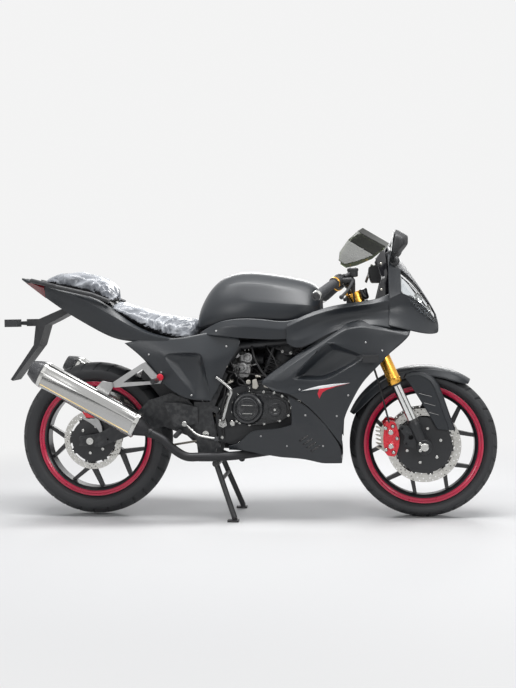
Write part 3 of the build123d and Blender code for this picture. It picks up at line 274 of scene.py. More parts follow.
TABLE = [   # name, colour, roughness, metal, grain, mottle, edge wear, the shader's own sockets
    ("matt_paint", (0.013, 0.016, 0.020), 0.38, 0.0, (1500, 0.10), (0.10, 5), None,
     {"Coat_Weight": 0.12, "Coat_Roughness": 0.30}),
    ("tyre_rubber", (0.022, 0.023, 0.025), 0.62, 0.0, (500, 0.25), (0.30, 14), (0.2, (0.09, 0.09, 0.09))),
    ("wheel_black", (0.012, 0.012, 0.014), 0.30, 0.0, (700, 0.08), (0.12, 12), (0.25, (0.1, 0.1, 0.1)),
     {"Coat_Weight": 0.3, "Coat_Roughness": 0.15}),
    ("rim_red", (0.52, 0.010, 0.055), 0.28, 0.0, (800, 0.06), (0.10, 12), None,
     {"Coat_Weight": 0.5, "Coat_Roughness": 0.12}),
    ("disc_steel", (0.60, 0.59, 0.56), 0.30, 1.0, (900, 0.10), (0.18, 30), None, {"Anisotropic": 0.4}),
    ("bright_steel", (0.62, 0.62, 0.60), 0.24, 1.0, (700, 0.08), (0.15, 25)),
    ("zinc_steel", (0.55, 0.53, 0.48), 0.38, 1.0, (600, 0.18), (0.25, 30)),
    ("chain_steel", (0.26, 0.24, 0.21), 0.42, 1.0, (700, 0.2), (0.35, 60)),
    ("gold_stripe", (0.78, 0.60, 0.30), 0.34, 1.0, (900, 0.05), (0.08, 18)),
    ("gold_anodised", (0.90, 0.47, 0.08), 0.27, 1.0, (1100, 0.06), (0.10, 18)),
    ("chrome", (0.46, 0.46, 0.45), 0.19, 1.0, (500, 0.03), (0.06, 14)),
    ("fork_chrome", (0.72, 0.73, 0.72), 0.14, 1.0, (500, 0.03), (0.06, 14)),
    ("satin_black", (0.016, 0.017, 0.019), 0.38, 0.0, (700, 0.12), (0.18, 14), (0.35, (0.12, 0.12, 0.12))),
    ("cast_black", (0.017, 0.018, 0.020), 0.50, 0.0, (420, 0.45), (0.25, 18), (0.5, (0.16, 0.16, 0.16))),
    ("cover_black", (0.012, 0.013, 0.015), 0.26, 0.0, (500, 0.10), (0.15, 14), (0.4, (0.2, 0.2, 0.2)),
     {"Coat_Weight": 0.4, "Coat_Roughness": 0.2}),
    ("cast_silver", (0.42, 0.42, 0.42), 0.42, 1.0, (420, 0.45), (0.25, 22)),
    ("moulded_black", (0.018, 0.019, 0.021), 0.48, 0.0, (1400, 0.35), (0.15, 12)),
    ("gloss_black", (0.010, 0.010, 0.012), 0.12, 0.0, (900, 0.02), (0.05, 10), None,
     {"Coat_Weight": 0.6, "Coat_Roughness": 0.05}),
    ("grip_rubber", (0.045, 0.046, 0.050), 0.60, 0.0, (900, 0.35), (0.18, 20)),
    ("hose_rubber", (0.014, 0.014, 0.015), 0.42, 0.0, (900, 0.15), (0.15, 20)),
    ("caliper_red", (0.70, 0.012, 0.030), 0.27, 0.0, (500, 0.14), (0.12, 20), (0.3, (0.8, 0.25, 0.2)),
     {"Coat_Weight": 0.5, "Coat_Roughness": 0.12}),
    ("pipe_black", (0.030, 0.030, 0.032), 0.45, 0.6, (500, 0.25), (0.3, 16), (0.3, (0.14, 0.13, 0.12))),
    ("vinyl", (0.018, 0.018, 0.020), 0.5, 0.0, (1300, 0.5), (0.15, 12)),
    ("white_decal", (0.80, 0.80, 0.80), 0.35, 0.0, (900, 0.04), (0.05, 12)),
    ("red_decal", (0.62, 0.012, 0.035), 0.35, 0.0, (900, 0.04), (0.06, 12)),
    ("red_lens", (0.16, 0.006, 0.010), 0.12, 0.0, (500, 0.05), (0.08, 30), None, {"Coat_Weight": 0.8}),
    ("reflector", (0.86, 0.87, 0.88), 0.10, 1.0, (300, 0.06), (0.08, 20)),
    ("stand_black", (0.020, 0.020, 0.022), 0.40, 0.0, (600, 0.15), (0.22, 16), (0.5, (0.2, 0.19, 0.18))),
]
for row in TABLE:
    finish(*row)
print("finishes", len(FINISHES))

# %% [markdown]
# ## See-through finishes
# Glass and clear plastic let light pass, so they need transmission and a plain Metallic of zero.
# The screen is smoked, the lamp lens nearly clear. The film on the seats is thin: most of it is seen as white
# glints on its creases, so it is made of a tinted skin whose roughness breaks up and whose creases carry a
# painted highlight in a lighter colour.
# %% Glass


def clear_finish(name, colour, rough, ior):
    """A see-through finish: tint, roughness and how strongly it bends light."""
    m, tree = new_tree(name)
    shader = node(tree, "ShaderNodeBsdfPrincipled", {"Metallic": 0.0, "Transmission Weight": 1.0, "IOR": ior})
    cloud = node(tree, "ShaderNodeGroup", {"Amount": 0.05, "Scale": 12.0, "Rough": rough}, node_tree=MOTTLE)
    cloud.inputs["Colour"].default_value = (*colour, 1)
    tree.links.new(cloud.outputs["Colour"], shader.inputs["Base Color"])
    tree.links.new(cloud.outputs["Roughness"], shader.inputs["Roughness"])
    tree.links.new(shader.outputs[0], node(tree, "ShaderNodeOutputMaterial").inputs[0])
    FINISHES[name] = m
    return m


clear_finish("smoked_screen", (0.075, 0.085, 0.06), 0.04, 1.35)
clear_finish("lamp_glass", (0.93, 0.95, 0.96), 0.02, 1.2)
print("clear", "smoked_screen", "lamp_glass")

# %% [markdown]
# ## A small workshop of shape makers
# Everything on the bike is one of a few shapes: something turned on an axle, a plate cut to an
# outline, a tube along a path, or a moulded skin drawn as a coarse cage that a subdivision surface
# rounds off. `Shape` gathers such bits, mirrors them to the other side where asked, and makes one
# mesh object of them, with its normals outward and its place in its mesh.
# %% Gathering bits into one piece


def make(name, verts, faces, dress, body, replaces=(), angle=38):
    """One finished mesh object from points in millimetres."""
    mesh = bpy.data.meshes.new(name)
    mesh.from_pydata([at(*v) for v in verts], [], faces)
    return adopt(bpy.data.objects.new(name, mesh), dress, body, replaces, angle)


def adopt(obj, dress, body, replaces=(), angle=38):
    """Link a mesh object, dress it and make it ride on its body."""
    if obj.name not in bpy.context.scene.collection.objects:
        bpy.context.scene.collection.objects.link(obj)
    if dress:
        obj.data.materials.clear()
        for one in ([dress] if isinstance(dress, str) else dress):
            obj.data.materials.append(FINISHES[one])
    obj.data.shade_smooth()
    obj.data.set_sharp_from_angle(angle=radians(angle))
    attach(obj, body)
    if replaces:
        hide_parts(*replaces)
    return obj


def outward(obj):
    """Merge doubles and turn every face of a closed mesh outward."""
    bm = bmesh.new()
    bm.from_mesh(obj.data)
    bmesh.ops.remove_doubles(bm, verts=bm.verts, dist=1e-6)
    bmesh.ops.recalc_face_normals(bm, faces=bm.faces)
    bm.to_mesh(obj.data)
    bm.free()


class Shape:
    """Bits of mesh on their way to one object."""

    def __init__(self):
        self.verts, self.faces, self.kinds = [], [], []
        self.kind = 0

    def add(self, verts, faces, both=False):
        start = len(self.verts)
        self.verts += [tuple(v) for v in verts]
        self.faces += [tuple(start + i for i in f) for f in faces]
        self.kinds += [self.kind] * len(faces)
        if both:
            self.add([(x, -y, z) for x, y, z in verts], [tuple(reversed(f)) for f in faces])
        return self

    def done(self, name, dress, body, slot, replaces=(), bevel=0.0, angle=38, segments=2):
        obj = make(name, self.verts, self.faces, dress, body, replaces, angle)
        for face, kind in zip(obj.data.polygons, self.kinds):
            face.material_index = kind
        outward(obj)
        obj.data.shade_smooth()
        obj.data.set_sharp_from_angle(angle=radians(angle))
        if bevel:
            soft = obj.modifiers.new("soft_edges", "BEVEL")
            soft.width, soft.segments, soft.limit_method = bevel / 1000, segments, "ANGLE"
            soft.angle_limit = radians(32)
            soft.harden_normals = True
        print(name, len(self.verts), "points")
        return obj


def pair(bit):
    """A bit and its mirror image on the other side."""
    both = Shape().add(*bit, both=True)
    return both.verts, both.faces


def beside(bit, y):
    """A bit moved across the bike."""
    verts, faces = bit
    return [(p[0], p[1] + y, p[2]) for p in verts], faces


def piece(name, dress, body, slot, replaces=(), bits=(), both=False, **edges):
    """One object from (points, faces) bits, mirrored where `both` says so."""
    shape = Shape()
    for bit in bits:
        shape.add(*bit, both)
    return shape.done(name, dress, body, slot, replaces, **edges)


# %% [markdown]
# ## Turned, swept and cut bits
# `turned` spins a list of (distance along, radius) about any axle, `swept` runs a round section
# along a smooth path, and `cut` gives a plate thickness, with holes if there are any.
# %% Turned, swept and cut


def turned(start, end, profile, sides=48):
    """Spin (mm along, radius) about the line from start towards end."""
    a = Vector(start)
    along = (Vector(end) - a).normalized()
    one = along.orthogonal().normalized()
    two = along.cross(one)
    verts, faces = [], []
    for s, r in profile:
        for k in range(sides):
            t = 2 * pi * k / sides
            verts.append(a + along * s + (one * cos(t) + two * sin(t)) * max(r, 0.001))
    for i in range(len(profile) - 1):
        for k in range(sides):
            n = (k + 1) % sides
            faces.append((i * sides + k, i * sides + n, (i + 1) * sides + n, (i + 1) * sides + k))
    faces.append(tuple(range(sides - 1, -1, -1)))
    faces.append(tuple(range((len(profile) - 1) * sides, len(profile) * sides)))
    return verts, faces


def bar(start, end, radius, edge=1.0, sides=24):
    """Round bar with softened ends."""
    long = (Vector(end) - Vector(start)).length
    return turned(start, end,
        [(0, radius - edge), (edge, radius), (long - edge, radius), (long, radius - edge)], sides)


def smooth_path(points, steps=6):
    """Points on a Catmull-Rom curve through the given ones."""
    p = [Vector(q) for q in points]
    p = [p[0] * 2 - p[1]] + p + [p[-1] * 2 - p[-2]]
    path = []
    for i in range(1, len(p) - 2):
        for k in range(steps):
            t = k / steps
            path.append(0.5 * ((2 * p[i]) + (p[i + 1] - p[i - 1]) * t
                        + (2 * p[i - 1] - 5 * p[i] + 4 * p[i + 1] - p[i + 2]) * t * t
                        + (3 * p[i] - p[i - 1] - 3 * p[i + 1] + p[i + 2]) * t * t * t))
    return path + [p[-2]]


def swept(points, radius, sides=12, steps=6, ends=True):
    """Tube along a smooth path; radius may be one number or one for each given point."""
    path = smooth_path(points, steps) if steps else [Vector(q) for q in points]
    if not isinstance(radius, (list, tuple)):
        radius = [radius] * len(points)
    verts, faces = [], []
    side = None
    for i, q in enumerate(path):
        ahead = (path[min(i + 1, len(path) - 1)] - path[max(i - 1, 0)]).normalized()
        side = ahead.orthogonal().normalized() if side is None else (
            side - ahead * side.dot(ahead)).normalized()
        other = ahead.cross(side)
        share = i / (len(path) - 1) * (len(radius) - 1)
        low = min(int(share), len(radius) - 2)
        r = radius[low] + (radius[low + 1] - radius[low]) * (share - low)
        for k in range(sides):
            t = 2 * pi * k / sides
            verts.append(q + (side * cos(t) + other * sin(t)) * r)
    for i in range(len(path) - 1):
        for k in range(sides):
            n = (k + 1) % sides
            faces.append((i * sides + k, i * sides + n, (i + 1) * sides + n, (i + 1) * sides + k))
    if ends:
        faces.append(tuple(range(sides - 1, -1, -1)))
        faces.append(tuple(range((len(path) - 1) * sides, len(path) * sides)))
    return verts, faces


def cut(outline, y0, y1, holes=()):
    """Plate in the plane along the bike: outline in (x, z), from y0 to y1, with (x, z, r) holes."""
    from mathutils.geometry import tessellate_polygon
    loops = [[Vector((x, z, 0)) for x, z in outline]]
    for hx, hz, hr in holes:
        loops.append([Vector((hx + hr * cos(2 * pi * k / 20), hz + hr * sin(2 * pi * k / 20), 0))
                      for k in range(20)])
    flat = [p for loop in loops for p in loop]
    tris = tessellate_polygon(loops)
    n = len(flat)
    verts = [(p.x, y0, p.y) for p in flat] + [(p.x, y1, p.y) for p in flat]
    faces = [tuple(t) for t in tris] + [tuple(i + n for i in reversed(t)) for t in tris]
    start = 0
    for loop in loops:
        for k in range(len(loop)):
            a, b = start + k, start + (k + 1) % len(loop)
            faces.append((a, b, b + n, a + n))
        start += len(loop)
    return verts, faces


def block(x, y, z):
    """Six faces from three (low, high) pairs."""
    verts = [(a, b, c) for a in x for b in y for c in z]
    return verts, [(0, 1, 3, 2), (4, 6, 7, 5), (0, 4, 5, 1), (2, 3, 7, 6), (0, 2, 6, 4), (1, 5, 7, 3)]


print("makers ready")

# %% [markdown]
# ## Moulded skins
# A fairing panel is a thin moulded shell whose faces are gently curved and whose creases are soft.
# A coarse cage of named corner points gives that: the subdivision surface bends the faces, the
# crease on an edge says how sharp it stays, and Solidify gives the wall. A `skin` is drawn once
# for the right side and mirrored.
# %% Skins from a cage


def skin(name, points, faces, dress, body="chassis", replaces=(), creases=None, crease=0.72, wall=3.0,
         both=True, levels=3, rim=1.0):
    """Panel from {name: (x, y, z)} and faces of names; creases = {"a-b": sharpness} override."""
    keys = list(points)
    verts = [points[k] for k in keys]
    loops = [tuple(keys.index(k) for k in f.split()) for f in faces]
    mesh = bpy.data.meshes.new(name)
    n = len(verts)
    all_verts, all_faces = list(verts), list(loops)
    if both:
        all_verts += [(x, -y, z) for x, y, z in verts]
        all_faces += [tuple(n + i for i in reversed(f)) for f in loops]
    mesh.from_pydata([at(*v) for v in all_verts], [], all_faces)
    sharp = {}
    for k, v in (creases or {}).items():
        chain = k.split("-")
        for a, b in zip(chain, chain[1:]):
            i, j = keys.index(a), keys.index(b)
            for s in ((0, n) if both else (0,)):
                sharp[frozenset((i + s, j + s))] = v
    seen = {}
    for f in all_faces:
        for a, b in zip(f, f[1:] + f[:1]):
            seen[frozenset((a, b))] = seen.get(frozenset((a, b)), 0) + 1
    layer = mesh.attributes.new("crease_edge", "FLOAT", "EDGE")
    for i, e in enumerate(mesh.edges):
        key = frozenset(e.vertices)
        layer.data[i].value = rim if seen[key] == 1 else sharp.get(key, crease)
    obj = bpy.data.objects.new(name, mesh)
    face_outward(obj)
    adopt(obj, dress, body, replaces, 180)
    round_off = obj.modifiers.new("round_off", "SUBSURF")
    round_off.levels = round_off.render_levels = levels
    round_off.boundary_smooth = "PRESERVE_CORNERS"
    crisp(obj)
    thick = obj.modifiers.new("wall", "SOLIDIFY")
    thick.thickness, thick.offset = wall / 1000, -1
    even = obj.modifiers.new("even_shading", "WEIGHTED_NORMAL")
    even.keep_sharp, even.weight = True, 60
    print(name, "cage", len(all_verts), "points")
    return obj


def crisp(obj, width=1.8, angle=13):
    """A small round on every crease that is sharper than the angle."""
    soft = obj.modifiers.new("crease_round", "BEVEL")
    soft.width, soft.segments, soft.limit_method = width / 1000, 2, "ANGLE"
    soft.angle_limit = radians(angle)
    soft.use_clamp_overlap = True


def face_outward(obj):
    """Turn each open shell so that most of its faces look away from the centre plane."""
    bm = bmesh.new()
    bm.from_mesh(obj.data)
    bmesh.ops.recalc_face_normals(bm, faces=bm.faces)
    todo = set(bm.faces)
    while todo:
        stack, shell = [todo.pop()], []
        while stack:
            f = stack.pop()
            shell.append(f)
            for e in f.edges:
                for g in e.link_faces:
                    if g in todo:
                        todo.discard(g)
                        stack.append(g)
        lean = 0
        for f in shell:
            c = f.calc_center_median()
            side = Vector((0, 0.3 * c.y, 0)) + Vector((0, 0, 0.02 * (1 if c.z > 0.6 else -1)))
            lean += f.calc_area() * f.normal.dot(side)
        if lean < 0:
            bmesh.ops.reverse_faces(bm, faces=shell)
    bm.to_mesh(obj.data)
    bm.free()


def fairing_half(x, z):
    """Half width of the fairing's outer face at (x, z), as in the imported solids."""
    table = {225: [(560, 120), (880, 128), (1010, 116)], 330: [(560, 168), (880, 182), (1010, 172)],
             440: [(620, 190), (880, 210), (1010, 204)], 560: [(676, 206), (880, 234), (1090, 216)],
             680: [(676, 200), (900, 232), (1090, 222), (1200, 204), (1270, 190)],
             780: [(800, 196), (900, 214), (1090, 206), (1200, 190), (1270, 178)]}
    levels = sorted(table)
    column = [float(np.interp(x, *zip(*table[k]))) for k in levels]
    return float(np.interp(z, levels, column))


def on_side(spots):
    """{name: (x, z, out)} to right-side points that stand `out` mm proud of the fairing's face."""
    return {k: (x, -fairing_half(x, z) - out, z) for k, (x, z, out) in spots.items()}


def right_side(spots):
    """{name: (x, distance out, z)} to points on the bike's right."""
    return {k: (x, -y, z) for k, (x, y, z) in spots.items()}


def grid(prefix, rows, open_at=()):
    """Named points and faces from rows of points; open_at lists the (row, place) of faces left out."""
    pts = {f"{prefix}{i}_{j}": p for i, row in enumerate(rows) for j, p in enumerate(row)}
    faces = [f"{prefix}{i}_{j} {prefix}{i+1}_{j} {prefix}{i+1}_{j+1} {prefix}{i}_{j+1}"
             for i in range(len(rows) - 1) for j in range(len(rows[0]) - 1) if (i, j) not in open_at]
    return pts, faces


def chain_of(prefix, place, rows):
    """The edge line that joins one place of every row, as creases name it."""
    return "-".join(f"{prefix}{i}_{place}" for i in range(rows))


print("half width at the widest", fairing_half(880, 560))

# %% [markdown]
# ## Side fairings
# The big side panel is one skin with a bright strip along its upper rear edge, a flat field below
# it, an intake sunk into its middle and a ledge under the intake. Each corner is a named point, as
# (x, z, how far it stands proud), so the creases can be read from the table.
# %% Side fairing cage
spots = {"a": (684, 552, -12), "b": (1008, 774, -26), "c": (1085, 787, -26), "d": (1200, 768, -24),
    "e": (1269, 745, -16), "a2": (716, 552, 5), "b2": (1018, 750, 4), "c2": (1086, 760, 4),
    "d2": (1198, 739, 3), "e2": (1262, 724, 1), "s1": (948, 708, 0), "s2": (1108, 648, 0),
    "s3": (944, 556, 1), "s4": (812, 563, 1), "f1": (978, 672, -40), "f2": (1078, 645, -14),
    "f3": (946, 576, -34), "f4": (848, 574, -38), "g1": (745, 521, 9), "g2": (808, 507, 11),
    "g3": (870, 470, 1), "g4": (943, 389, 0), "g5": (1003, 300, 0), "h1": (1006, 405, -1), "h2": (1045, 480,
        -1), "h3": (1084, 554, -1), "h4": (1145, 610, -1), "h5": (1182, 653, -1), "h6": (1244, 702, -1),
    "m1": (930, 520, 12), "m2": (1000, 540, 5), "m3": (1050, 556, 0), "m4": (960, 470, 0),}
faces = ["a a2 g2 g1", "a b b2 a2", "b c c2 b2", "c d d2 c2", "d e e2 d2",
         "a2 b2 s1 s4", "b2 c2 s2 s1", "c2 d2 h6 h5 h4 s2", "d2 e2 h6",
         "s1 s2 f2 f1", "s4 s1 f1 f4", "s3 s4 f4 f3", "s2 s3 f3 f2", "f1 f2 f3 f4",
         "a2 s4 s3 m1 g2", "s3 s2 m3 m2 m1", "s2 h4 h3 m3", "g2 m1 m4 g3", "m1 m2 m4", "m2 m3 h3 h2 m4",
         "g3 m4 h2 h1 g4", "g4 h1 g5"]
creases = {"a2-b2-c2-d2-e2": 0.9, "s1-s2-s3-s4-s1": 0.95, "s1-f1": 0.6, "f1-f2": 0.8, "f2-f3-f4-f1": 0.5,
           "a2-s4": 0.85, "m1-g2": 0.85, "s3-m1": 0.4, "g1-g2": 0.5, "m1-m2-m3": 0.2, "m1-m4": 0.0,
           "g3-m4": 0.0, "m4-m2": 0.0,
           "m4-h2": 0.0, "s2-m3": 0.1, "b2-s1": 0.0, "c2-s2": 0.0, "g4-h1": 0.0, "m3-h3": 0.0,
           "s2-h4": 0.0, "d2-h6": 0.0, "s3-s4": 0.9, "a2-g2": 0.2}
skin("side_fairing_skins", on_side(spots), faces, "matt_paint", replaces=("side_fairings",),
     creases=creases, crease=0.4)

# %% [markdown]
# ## Belly pan
# The lower fairing closes under the engine. A raised facet runs forward from the engine window, and
# a lip follows the seam with the side panel. Its floor joins both sides, so it is one skin.
# %% Belly pan
spots = {
    "p1": (562, 284, 0), "p2": (600, 283, 0), "p3": (652, 276, 0), "p4": (703, 262, 0), "p5": (767, 250, 0),
    "p6": (815, 248, 0), "p7": (880, 240, 0), "p8": (923, 226, 0), "p9": (1001, 226, 0),
    "q1": (562, 300, 0), "q2": (602, 308, 0), "q3": (652, 362, -2), "q4": (703, 365, 0), "q5": (767, 371, 0),
    "q6": (812, 386, 4), "q7": (812, 455, 2), "q8": (800, 498, 0), "r1": (872, 462, 0), "r2": (941, 383, 0),
    "r3": (1001, 296, 0), "k1": (826, 388, 10), "k2": (960, 262, 2), "k3": (880, 400, 3),
}
pts = on_side(spots)
faces = ["p1 p2 q2 q1", "p2 p3 q3 q2", "p3 p4 q4 q3", "p4 p5 q5 q4", "p5 p6 q6 q5", "p6 p7 k2 k1 q6",
         "q6 k1 q7", "q7 k1 k3 r1 q8", "k1 k2 k3", "k3 k2 r3 r2 r1", "p7 p8 p9 k2", "k2 p9 r3"]
floor_names = ["p4", "p5", "p6", "p7", "p8", "p9"]
for k in floor_names:
    x, y, z = pts[k]
    pts[k + "m"] = (x, 0, z - 1)
faces += [f"{a} {b} {b}m {a}m" for a, b in zip(floor_names, floor_names[1:])]
skin("belly_pan_skin", pts, faces, "matt_paint", replaces=("belly_pan",),
     creases={"q6-k1": 0.8, "k1-k2": 0.95, "k1-q7": 0.8, "k1-k3": 0.5, "k2-p9": 0.3, "k2-k3": 0.4,
              "p4-p5-p6-p7-p8-p9": 0.8, "k2-r3": 0.2, "q6-q7": 0.8}, crease=0.2)

# %% [markdown]
# ## Nose
# The nose cowl is symmetrical: rows of points run from the lower lip up and over to the centre line,
# one row for each step forward. Behind it, a deep channel runs back between the cowl's upper lip
# and the side panel, which is what makes the bike look sharp from the side.
# %% Nose cowl
rows = [
    (1188, [(197, 763), (176, 792), (162, 828), (177, 862), (166, 920), (138, 996), (70, 1060), (0, 1080)]),
    (1235, [(187, 752), (166, 786), (150, 834), (158, 886), (140, 930), (112, 978), (54, 1016), (0, 1025)]),
    (1290, [(164, 737), (143, 772), (122, 820), (126, 866), (104, 904), (78, 930), (40, 944), (0, 948)]),
    (1340, [(124, 727), (108, 752), (94, 788), (95, 820), (76, 840), (56, 858), (30, 866), (0, 869)]),
    (1374, [(66, 727), (66, 742), (60, 760), (52, 776), (44, 790), (32, 802), (16, 808), (0, 811)]),
    (1384, [(38, 735), (38, 742), (34, 750), (30, 757), (25, 762), (18, 766), (10, 768), (0, 769)]),
]
LAMP_OPENING = [(i, j) for i in (1, 2, 3) for j in (3, 4)]
pts, faces = grid("n", [[(x, -y, z) for y, z in line] for x, line in rows], LAMP_OPENING)
faces.append("n5_7 n5_6 n5_5 n5_4 n5_3 n5_2 n5_1 n5_0")
creases = {chain_of("n", 3, 6): 0.7, chain_of("n", 5, 6): 0.5}
skin("nose_cowl", pts, faces, "matt_paint", replaces=("nose_fairing",), creases=creases,
     crease=0.05)
# The channel panel behind the cowl: lip, channel and foot.
rows = [
    (796, [(186, 700), (190, 716), (192, 742), (193, 762), (188, 772)]),
    (832, [(198, 676), (200, 706), (196, 738), (197, 776), (190, 790)]),
    (886, [(206, 692), (202, 728), (190, 770), (198, 800), (184, 816)]),
    (975, [(204, 746), (188, 770), (172, 802), (200, 828), (184, 843)]),
    (1074, [(198, 770), (180, 786), (164, 816), (194, 842), (174, 855)]),
    (1140, [(194, 764), (180, 786), (166, 820), (184, 846), (168, 862)]),
    (1192, [(193, 755), (172, 792), (158, 826), (174, 858), (163, 886)]),
]
pts, faces = grid("u", [[(x, -y, z) for y, z in line] for x, line in rows])
creases = {chain_of("u", j, len(rows)): c for j, c in ((1, 0.5), (2, 0.2), (3, 0.95))}
skin("nose_channels", pts, faces, "matt_paint", creases=creases, crease=0.0)

# %% [markdown]
# ## Tank
# The tank is a crowned shell: broad and round on top, with a soft shoulder line on each side where
# the flank falls away, and pinched at the back for the knees. It is a row of sections from back to
# front, closed on both ends and at the foot.
# %% Fuel tank
TANK_ROWS = [   # x, then (y, z) from the crown down to the foot
    (432, [(0, 818), (34, 814), (62, 800), (84, 782), (88, 764), (82, 744)]),
    (452, [(0, 868), (46, 862), (80, 840), (100, 806), (104, 776), (98, 744)]),
    (486, [(0, 925), (56, 917), (94, 888), (120, 842), (128, 790), (114, 744)]),
    (540, [(0, 970), (66, 962), (110, 926), (143, 862), (150, 800), (134, 744)]),
    (612, [(0, 987), (74, 979), (124, 940), (162, 866), (168, 806), (148, 744)]),
    (700, [(0, 980), (78, 973), (128, 932), (167, 858), (171, 806), (150, 744)]),
    (790, [(0, 965), (76, 957), (122, 914), (162, 850), (166, 806), (148, 744)]),
    (872, [(0, 947), (66, 939), (106, 900), (150, 846), (151, 806), (134, 744)]),
    (912, [(0, 926), (52, 918), (84, 884), (120, 838), (126, 800), (112, 744)]),
    (931, [(0, 900), (40, 892), (66, 862), (96, 826), (104, 790), (98, 744)]),
]


def shell_rows(rows, prefix="t"):
    """Points and faces of a closed body from the right-hand halves of its sections."""
    pts, faces = {}, []
    n = len(rows[0][1])
    for i, (x, line) in enumerate(rows):
        for j, (y, z) in enumerate(line):
            pts[f"{prefix}{i}_{j}"] = (x, -y, z)
            if y:
                pts[f"{prefix}{i}_{-j}"] = (x, y, z)

    def ring(i):
        order = [f"{prefix}{i}_{j}" for j in range(n)]
        order += [f"{prefix}{i}_{-j}" for j in range(n - 1, -1, -1) if rows[i][1][j][0]]
        return order
    for i in range(len(rows) - 1):
        a, b = ring(i), ring(i + 1)
        for k in range(len(a)):
            m = (k + 1) % len(a)
            faces.append(f"{a[k]} {b[k]} {b[m]} {a[m]}")
    faces.append(" ".join(ring(0)))
    faces.append(" ".join(reversed(ring(len(rows) - 1))))
    return pts, faces


def body_of_rows(name, rows, dress, replaces, creases, crease=0.0, levels=2, body="chassis"):
    """Closed rounded body from sections, outward faces."""
    pts, faces = shell_rows(rows)
    keys = list(pts)
    mesh = bpy.data.meshes.new(name)
    mesh.from_pydata([at(*pts[k]) for k in keys], [],
        [tuple(keys.index(k) for k in f.split()) for f in faces])
    obj = bpy.data.objects.new(name, mesh)
    outward_closed(mesh)
    sharp = {}
    for k, v in creases.items():
        chain = k.split("-")
        for a, b in zip(chain, chain[1:]):
            sharp[frozenset((keys.index(a), keys.index(b)))] = v
            if a.split("_")[1] != "0":
                c, d = (q.replace("_", "_-") for q in (a, b))
                if c in pts and d in pts:
                    sharp[frozenset((keys.index(c), keys.index(d)))] = v
    layer = mesh.attributes.new("crease_edge", "FLOAT", "EDGE")
    for i, e in enumerate(mesh.edges):
        layer.data[i].value = sharp.get(frozenset(e.vertices), crease)
    adopt(obj, dress, body, replaces, 180)
    round_off = obj.modifiers.new("round_off", "SUBSURF")
    round_off.levels = round_off.render_levels = levels
    crisp(obj)
    even = obj.modifiers.new("even_shading", "WEIGHTED_NORMAL")
    even.keep_sharp, even.weight = True, 60
    print(name, "cage", len(pts), "points")
    return obj


def outward_closed(mesh):
    """Turn every face of a closed mesh outward and keep its points as they are."""
    bm = bmesh.new()
    bm.from_mesh(mesh)
    bmesh.ops.recalc_face_normals(bm, faces=bm.faces)
    bm.to_mesh(mesh)
    bm.free()


body_of_rows("tank_shell", TANK_ROWS, "matt_paint", ("fuel_tank",),
             {"t3_2-t4_2-t5_2-t6_2-t7_2": 0.72, "t4_3-t5_3-t6_3-t7_3-t8_3": 0.55}, levels=3)

# %% [markdown]
# ## Tail
# The tail is a wedge that sweeps up to a point. Its upper rail is a bright edge beside the seat and
# its flank is undercut, so the side has one long crease. Sections again, back to front.
# %% Tail
TAIL_ROWS = [
    (-300, [(0, 974), (26, 977), (37, 974), (36, 970), (33, 968), (0, 968)]),
    (-206, [(0, 940), (58, 950), (76, 940), (76, 925), (62, 902), (0, 902)]),
    (-100, [(0, 915), (90, 930), (106, 914), (104, 886), (88, 830), (0, 830)]),
    (-20, [(0, 892), (104, 910), (122, 884), (118, 848), (100, 785), (0, 790)]),
    (40, [(0, 868), (116, 886), (132, 850), (128, 815), (112, 752), (0, 760)]),
    (110, [(0, 800), (122, 838), (141, 812), (138, 778), (126, 720), (0, 740)]),
    (170, [(0, 760), (126, 790), (147, 778), (146, 752), (136, 712), (0, 712)]),
    (240, [(0, 720), (128, 750), (151, 744), (151, 728), (146, 706), (0, 706)]),
    (310, [(0, 704), (126, 730), (154, 727), (154, 716), (151, 702), (0, 701)]),
    (384, [(0, 701), (124, 716), (156, 713), (157, 708), (156, 701), (0, 700)]),
]
body_of_rows("tail_shell", TAIL_ROWS, "matt_paint", ("tail_fairing",),
             {chain_of("t", 1, 10): 0.7, chain_of("t", 2, 10): 0.75, chain_of("t", 4, 10): 0.9,
              chain_of("t", 3, 10): 0.2,
              "t0_1-t0_2-t0_3-t0_4-t0_5": 0.8}, levels=2)

# %% [markdown]
# ## Side panels and tank covers
# Below the seat a pointed panel with two slanting creases covers the frame, and above the engine a
# curved cover follows the foot of the tank and runs forward to the fairing.
# %% Side panels and tank covers
pts = right_side({"a": (150, 137, 706), "b": (238, 152, 640), "c": (289, 158, 558), "d": (372, 164, 494),
        "e": (431, 166, 480), "f": (496, 170, 480), "g": (528, 164, 526), "h": (562, 168, 620), "i": (598,
        166, 668), "j": (630, 158, 728), "k": (496, 146, 752), "l": (400, 154, 724), "m": (300, 150, 722),
        "n": (230, 146, 722), "u1": (318, 168, 666), "u2": (460, 180, 669), "v1": (334, 152, 650),
        "v2": (446, 156, 655), "w1": (308, 168, 646), "w2": (424, 170, 512), "x1": (468, 160, 566),
        "x2": (440, 157, 522), "y1": (470, 186, 650), "y2": (488, 186, 570), "z1": (548, 172, 650),})
faces = ["a b w1 n", "n w1 u1 m", "m u1 u2 l", "l u2 k", "u2 y1 z1 k", "k z1 j", "z1 i j", "z1 h i",
         "u1 v1 v2 u2", "w1 v1 u1", "u2 v2 y1", "b c w2 w1", "w1 w2 x2 v1", "v1 x2 x1 v2", "v2 x1 y2 y1",
         "c d w2", "w2 d e", "w2 e x2", "x2 e f x1", "x1 f y2", "y2 f g", "y1 y2 g h z1"]
skin("side_panel_skins", pts, faces, "matt_paint", replaces=("side_panels",),
     creases={"u1-u2": 0.95, "v1-v2": 0.7, "w1-w2": 0.9, "u1-w1": 0.7, "v1-x2": 0.6, "y1-y2-f": 0.9,
              "v2-x1": 0.5, "u2-y1": 0.6, "y1-z1": 0.2}, crease=0.12)
